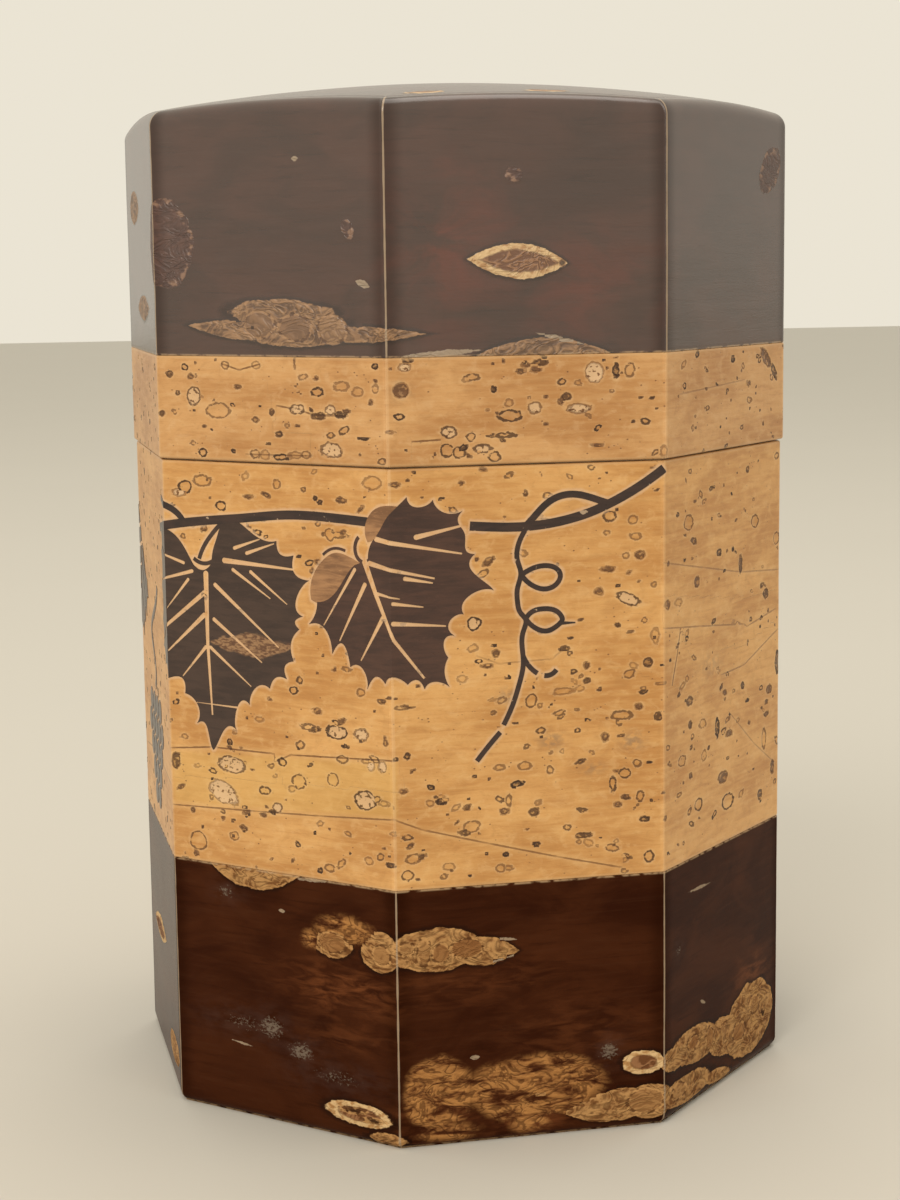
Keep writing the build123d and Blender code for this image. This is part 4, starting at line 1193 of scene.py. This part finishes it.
def mark_colour(n, kind, reach, edge, crust, strands, break_up, red, tones):
    """What each kind of mark in the dark bark is coloured."""
    rim = n.times(n.step(n.absolute(n.add(edge, 0.12)), 0.22, 0.07), n.step(break_up, 0.42, 0.58))
    crust = n.mix(n.times(rim, 0.6), crust, times_colour(tones["cork_pale"], 1.3))
    lips = n.mix(n.step(break_up, 0.34, 0.55), EYE_LIP_BROWN, EYE_LIP_PALE)
    core = n.mix(n.step(strands, -0.6, 0.8), EYE_CORE_DARK, EYE_CORE_WARM)
    heart_line = n.step(n.absolute(n.minus(reach, 0.60)), 0.07, 0.02)
    eye = n.mix(n.step(reach, 0.62, 0.54), lips, core)
    eye = n.mix(n.times(heart_line, 0.6), eye, EYE_LINE)
    edge_dots = n.step(n.absolute(n.add(edge, 0.3)), 0.45, 0.1)
    scab = n.mix(n.step(break_up, 0.40, 0.62), SCAB_DARK, SCAB_RED)
    scab = n.mix(n.times(edge_dots, n.step(break_up, 0.50, 0.60)), scab, SCAB_DOT)
    rust = n.mix(n.step(red, 0.36, 0.60), RUST_DARK, RUST_ORANGE)
    rust = n.tint(rust, RUST_CREVICE, strands, -0.3, -0.9, 0.6)
    colour = n.mix(is_kind(n, kind, EYE), crust, eye)
    colour = n.mix(is_kind(n, kind, SCAB), colour, scab)
    colour = n.mix(is_kind(n, kind, RUST), colour, rust)
    return n.mix(is_kind(n, kind, CHIP), colour, CHIP_PALE)


def dark_marks(n, wrap, colour, tones):
    """Lenticels, crusts and chips, with a painted shadow round the raised crusts and eyes. Returns the
    colour, the marks' area, strands and breaks.
    """
    reach, edge, kind, _ = mark_reach(n, "mark", 0.18, 0.12)
    crust, strands = cork(n, wrap, tones)
    break_up = n.noise(wrap, (0.8, 1.2, 1), 2.0, shift=(6, 31, 0))
    licks = n.noise(wrap, (0.30, 0.9, 1), 4.0, 0.6, 0.6, shift=(5, 2, 0))
    fill = mark_colour(n, kind, reach, edge, crust, strands, break_up, licks, tones)
    crisp = n.step(edge, 0.04, -0.06)
    soft = n.times(n.step(edge, 0.3, -0.9), n.step(licks, 0.30, 0.50))
    area = n.times_add(n.minus(soft, crisp), is_kind(n, kind, RUST), crisp)
    is_crusty = n.step(n.absolute(n.minus(kind, (CRUST + EYE) / 2)), 1.2, 1.0)
    # Painted shadow: a dark band just outside the edge of the raised crusts and eyes.
    crust_shadow = n.times(n.step(edge, 0.55, 0.08), n.step(edge, -0.05, 0.06))
    colour = n.mix(n.times(n.times(crust_shadow, is_crusty), 0.6), colour, CRUST_PAINTED_SHADOW)
    faint = n.add(n.times(is_kind(n, kind, SCAB), 0.4), n.times(is_kind(n, kind, CHIP), 0.35))
    solid = n.minus(1.0, faint)
    colour = n.mix(n.times(area, solid), colour, fill)
    return colour, area, strands, break_up


def dark_details(n, colour, strands, break_up, tones):
    """Rings and holes inside the crusts. Returns the colour and the rings."""
    _, edge, kind, seed = mark_reach(n, "detail", 0.16, 0.14)
    knot = n.mix(seed, times_colour(tones["cork_dark"], 1.3), tones["cork_pale"])
    knot = n.tint(knot, tones["cork_dark"], strands, -0.2, -0.9, 0.5)
    fill = n.mix(is_kind(n, kind, HOLE), knot, HOLE_BLACK)
    colour = n.tint(colour, fill, edge, 0.03, -0.06, 0.85)
    ring = n.step(n.absolute(edge), 0.20, 0.07)
    pale = times_colour(tones["cork_pale"], 1.25)
    tone = n.mix(n.step(break_up, 0.44, 0.54), RING_BROWN, pale)
    return n.mix(n.times(ring, 0.75), colour, tone), ring


def dark_bark(name, tones, specular):
    """Polished dark cherry bark: level streaks, red stains, grey scurf and corky lenticels."""
    n = Nodes(name)
    wrap = n.wrap()
    corner, end, _ = n.split(n.attribute("lines"))
    red, scurf, _ = n.split(n.attribute("stains"))
    colour, streak, fine = dark_ground(n, wrap, tones, corner, red)
    colour, grains = dark_scurf(n, wrap, colour, scurf)
    colour, area, strands, break_up = dark_marks(n, wrap, colour, tones)
    colour, rings = dark_details(n, colour, strands, break_up, tones)
    worn = n.times(line_mask(n, corner, 0.12, 0.14, 0.45), 0.75)
    colour = n.mix(worn, colour, WORN_LINE)
    rim = n.times(n.step(end, 0.30, 0.08), n.step(break_up, 0.36, 0.56))
    colour = n.mix(n.times(rim, 0.7), colour, JOINT_RIM)
    height = n.times_add(streak, 0.3, n.times(fine, 0.15))
    height = n.add(height, n.times(n.times(area, strands), 0.9))
    height = n.minus(height, n.times(rings, 0.8))
    height = n.add(height, n.times(grains, 0.8))
    rough = n.times_add(fine, 0.10, 0.17)
    rough = n.add(rough, n.add(n.times(area, 0.28), n.times(grains, 0.25)))
    gleam = n.times_add(n.step(corner, *PAINTED_CORNER_SHADE), -0.45 * specular, specular)
    return n.finish(
        base_color=colour, roughness=rough, specular_ior_level=gleam, normal=n.bump(height, 0.045)
    )


def bark_lenticel(n, place, fine, colour, lenticel):
    """A brown lenticel on a sheet of bark, at (distance along the side, z, half sizes)."""
    along, height, half_along, half_height = lenticel
    x, y, z = n.split(place)
    run = n.times(n.minus(x, y), math.sqrt(0.5))
    lx = n.over(n.minus(run, along), half_along)
    lz = n.over(n.minus(z, height), half_height)
    ragged = n.minus(n.noise(place, (0.45, 0.45, 0.9), 3.0), 0.5)
    reach = n.add(n.add(n.absolute(lz), n.times(lx, lx)), n.times(ragged, 1.4))
    brown = n.mix(n.step(fine, 0.38, 0.6), LENTICEL_DARK, LENTICEL_TAN)
    return n.tint(colour, brown, reach, 1.05, 0.75, 0.9)


def inlay_bark(name, deep, warm, chips=0.0, lenticel=None):
    """Thin bark of the inlays: level streaks, soft clouds, and pale chips if they are asked for."""
    n = Nodes(name)
    place = n.object_place()
    streak = n.noise(place, (0.25, 0.25, 1.6), 4.0, 0.6, 0.5)
    cloud = n.noise(place, (0.16, 0.16, 0.22), 3.0)
    fine = n.noise(place, (1.6, 1.6, 4.5), 3.0, 0.6)
    colour = n.mix(n.step(n.add(n.times(streak, 0.6), n.times(cloud, 0.4)), 0.38, 0.62), deep, warm)
    colour = n.tint(colour, times_colour(warm, 2.0), fine, 0.58, 0.74, 0.2)
    if lenticel:
        colour = bark_lenticel(n, place, fine, colour, lenticel)
    if chips:
        spots = n.noise(place, (0.9, 0.9, 0.9), 2.0, shift=(3, 7, 1))
        colour = n.tint(colour, INLAY_CHIP, spots, 0.66, 0.70, chips)
    height = n.times_add(streak, 0.6, n.times(fine, 0.4))
    gloss = n.times_add(fine, 0.12, 0.24)
    return n.finish(base_color=colour, roughness=gloss, normal=n.bump(height, 0.04))


def plain_bark():
    """Brown bark with level lenticels, on the collar and the inner lid."""
    n = Nodes("inner_bark")
    place = n.object_place()
    streak = n.noise(place, (0.09, 0.09, 1.1), 5.0, 0.6, 0.6)
    dash = n.noise(place, (0.16, 0.16, 1.7), 2.0, 0.5, 0.2, shift=(9, 4, 2))
    fine = n.noise(place, (1.2, 1.2, 4.0), 3.0, 0.6)
    colour = n.mix(n.step(streak, 0.32, 0.70), INNER_DARK, INNER_WARM)
    dashes = n.step(dash, 0.62, 0.70)
    colour = n.mix(n.times(dashes, 0.8), colour, INNER_DASH)
    height = n.add(n.times(streak, 0.5), dashes)
    gloss = n.times_add(fine, 0.14, 0.26)
    return n.finish(base_color=colour, roughness=gloss, normal=n.bump(height, 0.05))


def wood(name, pale, dark, ring_scale):
    """Straight-grained wood: rings stretched up the board, fine pores and a satin surface."""
    n = Nodes(name)
    place = n.object_place()
    bands = n.noise(place, (ring_scale, ring_scale, 0.035), 4.0, 0.6, 0.9)
    pores = n.noise(place, (3.2, 3.2, 0.22), 3.0, 0.7)
    colour = n.mix(n.step(bands, 0.34, 0.68), pale, dark)
    colour = n.tint(colour, times_colour(dark, 0.45), pores, 0.60, 0.74, 0.5)
    height = n.times_add(bands, 0.4, n.times(pores, 0.6))
    gloss = n.times_add(pores, 0.2, 0.42)
    return n.finish(base_color=colour, roughness=gloss, normal=n.bump(height, 0.05))


def knob_wood():
    """Dark turned wood with fine rings from the tool and a rubbed finish."""
    n = Nodes("knob_wood")
    place = n.object_place()
    _, _, z = n.split(place)
    grain = n.noise(place, (0.8, 0.25, 0.8), 4.0, 0.6, 0.7)
    fine = n.noise(place, (3.0, 3.0, 3.0), 3.0, 0.6)
    rings = n.math("SINE", n.times(z, TOOL_RINGS))
    colour = n.mix(n.step(grain, 0.34, 0.70), KNOB_DARK, KNOB_WARM)
    height = n.times_add(rings, 0.12, n.times(fine, 0.4))
    gloss = n.times_add(fine, 0.14, 0.22)
    return n.finish(base_color=colour, roughness=gloss, normal=n.bump(height, 0.04))


def paper_floor():
    """A pale matt studio floor."""
    n = Nodes("studio_floor")
    place = n.object_place()
    tone = n.noise(place, (0.01, 0.01, 0.01), 2.0)
    colour = n.mix(n.times(tone, 0.3), FLOOR_PALE, FLOOR_SHADE)
    return n.finish(base_color=colour, roughness=0.75)


def dress(piece, material):
    """Gives a piece one material in place of any it has."""
    piece.data.materials.clear()
    piece.data.materials.append(material)


# ---- Stage ----
def soft_light(name, place, size, power, colour):
    """A round area light aimed at the middle of the caddy."""
    data = bpy.data.lights.new(name, "AREA")
    data.shape = "DISK"
    data.size = size
    data.energy = power
    data.color = colour
    light = bpy.data.objects.new(name, data)
    light.location = place
    aim = Vector((0, 0, DOME_TOP / 2 * MM)) - Vector(place)
    light.rotation_euler = aim.to_track_quat("-Z", "Y").to_euler()
    bpy.context.scene.collection.objects.link(light)


SKY = (0.83, 0.775, 0.655)


def make_stage():
    """The pale floor, an even sky and two soft lights."""
    half = 3.0
    floor = new_object(
        "studio_floor",
        np.array([(-half, -half, 0), (half, -half, 0), (half, half, 0), (-half, half, 0)]) / MM,
        np.array([(0, 1, 2, 3)]),
    )
    dress(floor, paper_floor())
    world = bpy.data.worlds.new("studio")
    world.use_nodes = True
    background = world.node_tree.nodes["Background"]
    background.inputs["Color"].default_value = (*SKY, 1)
    background.inputs["Strength"].default_value = 1.0
    bpy.context.scene.world = world
    soft_light("key_light", (-0.55, -0.75, 0.85), 0.7, 6.0, (1.0, 0.93, 0.84))
    soft_light("top_light", (0.1, 0.15, 1.1), 0.8, 3.0, (1.0, 0.95, 0.88))
    bpy.context.scene.view_settings.view_transform = "Standard"


# ---- Assembly ----
FOOT_TONES = {
    "deep": (0.030, 0.0068, 0.0021),
    "warm": (0.056, 0.0152, 0.0048),
    "haze": (0.080, 0.030, 0.013),
    "red": (0.175, 0.055, 0.018),
    "blush_scale": (0.24, 0.85, 1),
    "cork_dark": (0.19, 0.080, 0.027),
    "cork_pale": (0.43, 0.235, 0.092),
}
LID_TONES = {
    "deep": (0.050, 0.0240, 0.0165),
    "warm": (0.074, 0.0320, 0.0215),
    "haze": (0.090, 0.050, 0.037),
    "red": (0.125, 0.034, 0.020),
    "blush_scale": (0.13, 0.20, 1),
    "cork_dark": (0.125, 0.060, 0.028),
    "cork_pale": (0.30, 0.165, 0.080),
}


def make_skins():
    """Builds the five skins of bark, each in place of the plain CAD skin."""
    body_light = light_bark("body_bark", (1.0, 1.0, 1.0))
    strip_light = light_bark("strip_bark", (0.88, 0.89, 1.05))
    foot = dark_bark("foot_bark", FOOT_TONES, 0.03)
    lid = dark_bark("lid_bark", LID_TONES, 1.0)
    body_marks = list(BODY_PITS) + scattered_pits(5, FOOT_TOP, BODY_TOP, 0.10)
    strip_marks = list(STRIP_PITS) + scattered_pits(6, LID_BOTTOM, STRIP_TOP, 0.11)
    foot_skin = bark_band(
        "body_skin_dark", BODY_FLATS, 0, FOOT_TOP, (BASE_EDGE_RADIUS, JOINT_ROUNDING),
        FOOT_MARKS, FOOT_DETAILS, (), 21,
    )
    body_skin = bark_band(
        "body_skin_light", BODY_FLATS, FOOT_TOP, BODY_TOP, (JOINT_ROUNDING, SEAM_ROUNDING),
        body_marks, (), CRACKS, 22, inlaid=True,
    )
    strip_skin = bark_band(
        "lid_skin_light", LID_FLATS, LID_BOTTOM, STRIP_TOP, (SEAM_ROUNDING, JOINT_ROUNDING),
        strip_marks, (), STRIP_CRACKS, 24,
    )
    for piece, material, body, node, slot in (
        (foot_skin, foot, "body", "body_bark_dark", "dark_bark"),
        (body_skin, body_light, "body", "body_bark_light", "light_bark"),
        (strip_skin, strip_light, "lid", "lid_bark_light", "light_bark"),
        (lid_side(), lid, "lid", "lid_bark_dark", "dark_bark"),
        (lid_dome(), lid, "lid", "lid_top_bark", "dark_bark"),
    ):
        dress(piece, material)
        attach(piece, body)
        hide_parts(node)


LEFT_LEAF_LENTICEL = (-3.4, 56.2, 6.0, 1.4)  # distance along the side, z, and half sizes
LEAF_TONES = {
    # The tones of leaf_left, also given to leaf_back, are greyer than those of leaf_right: painted
    # reflection on the left face.
    "leaf_left": ((0.036, 0.0185, 0.0130), (0.058, 0.0310, 0.0215)),
    "leaf_right": ((0.043, 0.0185, 0.0125), (0.072, 0.0310, 0.0200)),
    "leaf_back": ((0.036, 0.0185, 0.0130), (0.058, 0.0310, 0.0215)),
}


def dress_nodes():
    """Gives every CAD node the material of its slot, and each leaf its own tones, the left leaf's greyer
    with a painted reflection.
    """
    by_slot = {
        "core_wood": wood("core_wood", (0.55, 0.36, 0.19), (0.40, 0.235, 0.11), 0.30),
        "sleeve_wood": wood("sleeve_wood", (0.60, 0.42, 0.24), (0.46, 0.29, 0.15), 0.42),
        "inner_bark": plain_bark(),
        "knob_wood": knob_wood(),
        "inlay_dark": inlay_bark("vine_bark", (0.022, 0.011, 0.009), (0.045, 0.022, 0.016), 0.8),
        "inlay_brown": inlay_bark("brown_bark", (0.19, 0.088, 0.037), (0.40, 0.205, 0.090)),
        "dark_bark": plain_bark(),
        "light_bark": inlay_bark("light_back", (0.45, 0.24, 0.09), (0.60, 0.34, 0.13)),
    }
    for part in frame["record"]["subparts"]:
        dress(frame["nodes"][part["node"]], by_slot[part["material_slot"]])
    for node, tones in LEAF_TONES.items():
        lenticel = LEFT_LEAF_LENTICEL if node == "leaf_left" else None
        dress(frame["nodes"][node], inlay_bark(node + "_bark", *tones, lenticel=lenticel))


make_camera()
make_stage()
make_skins()
dress_nodes()
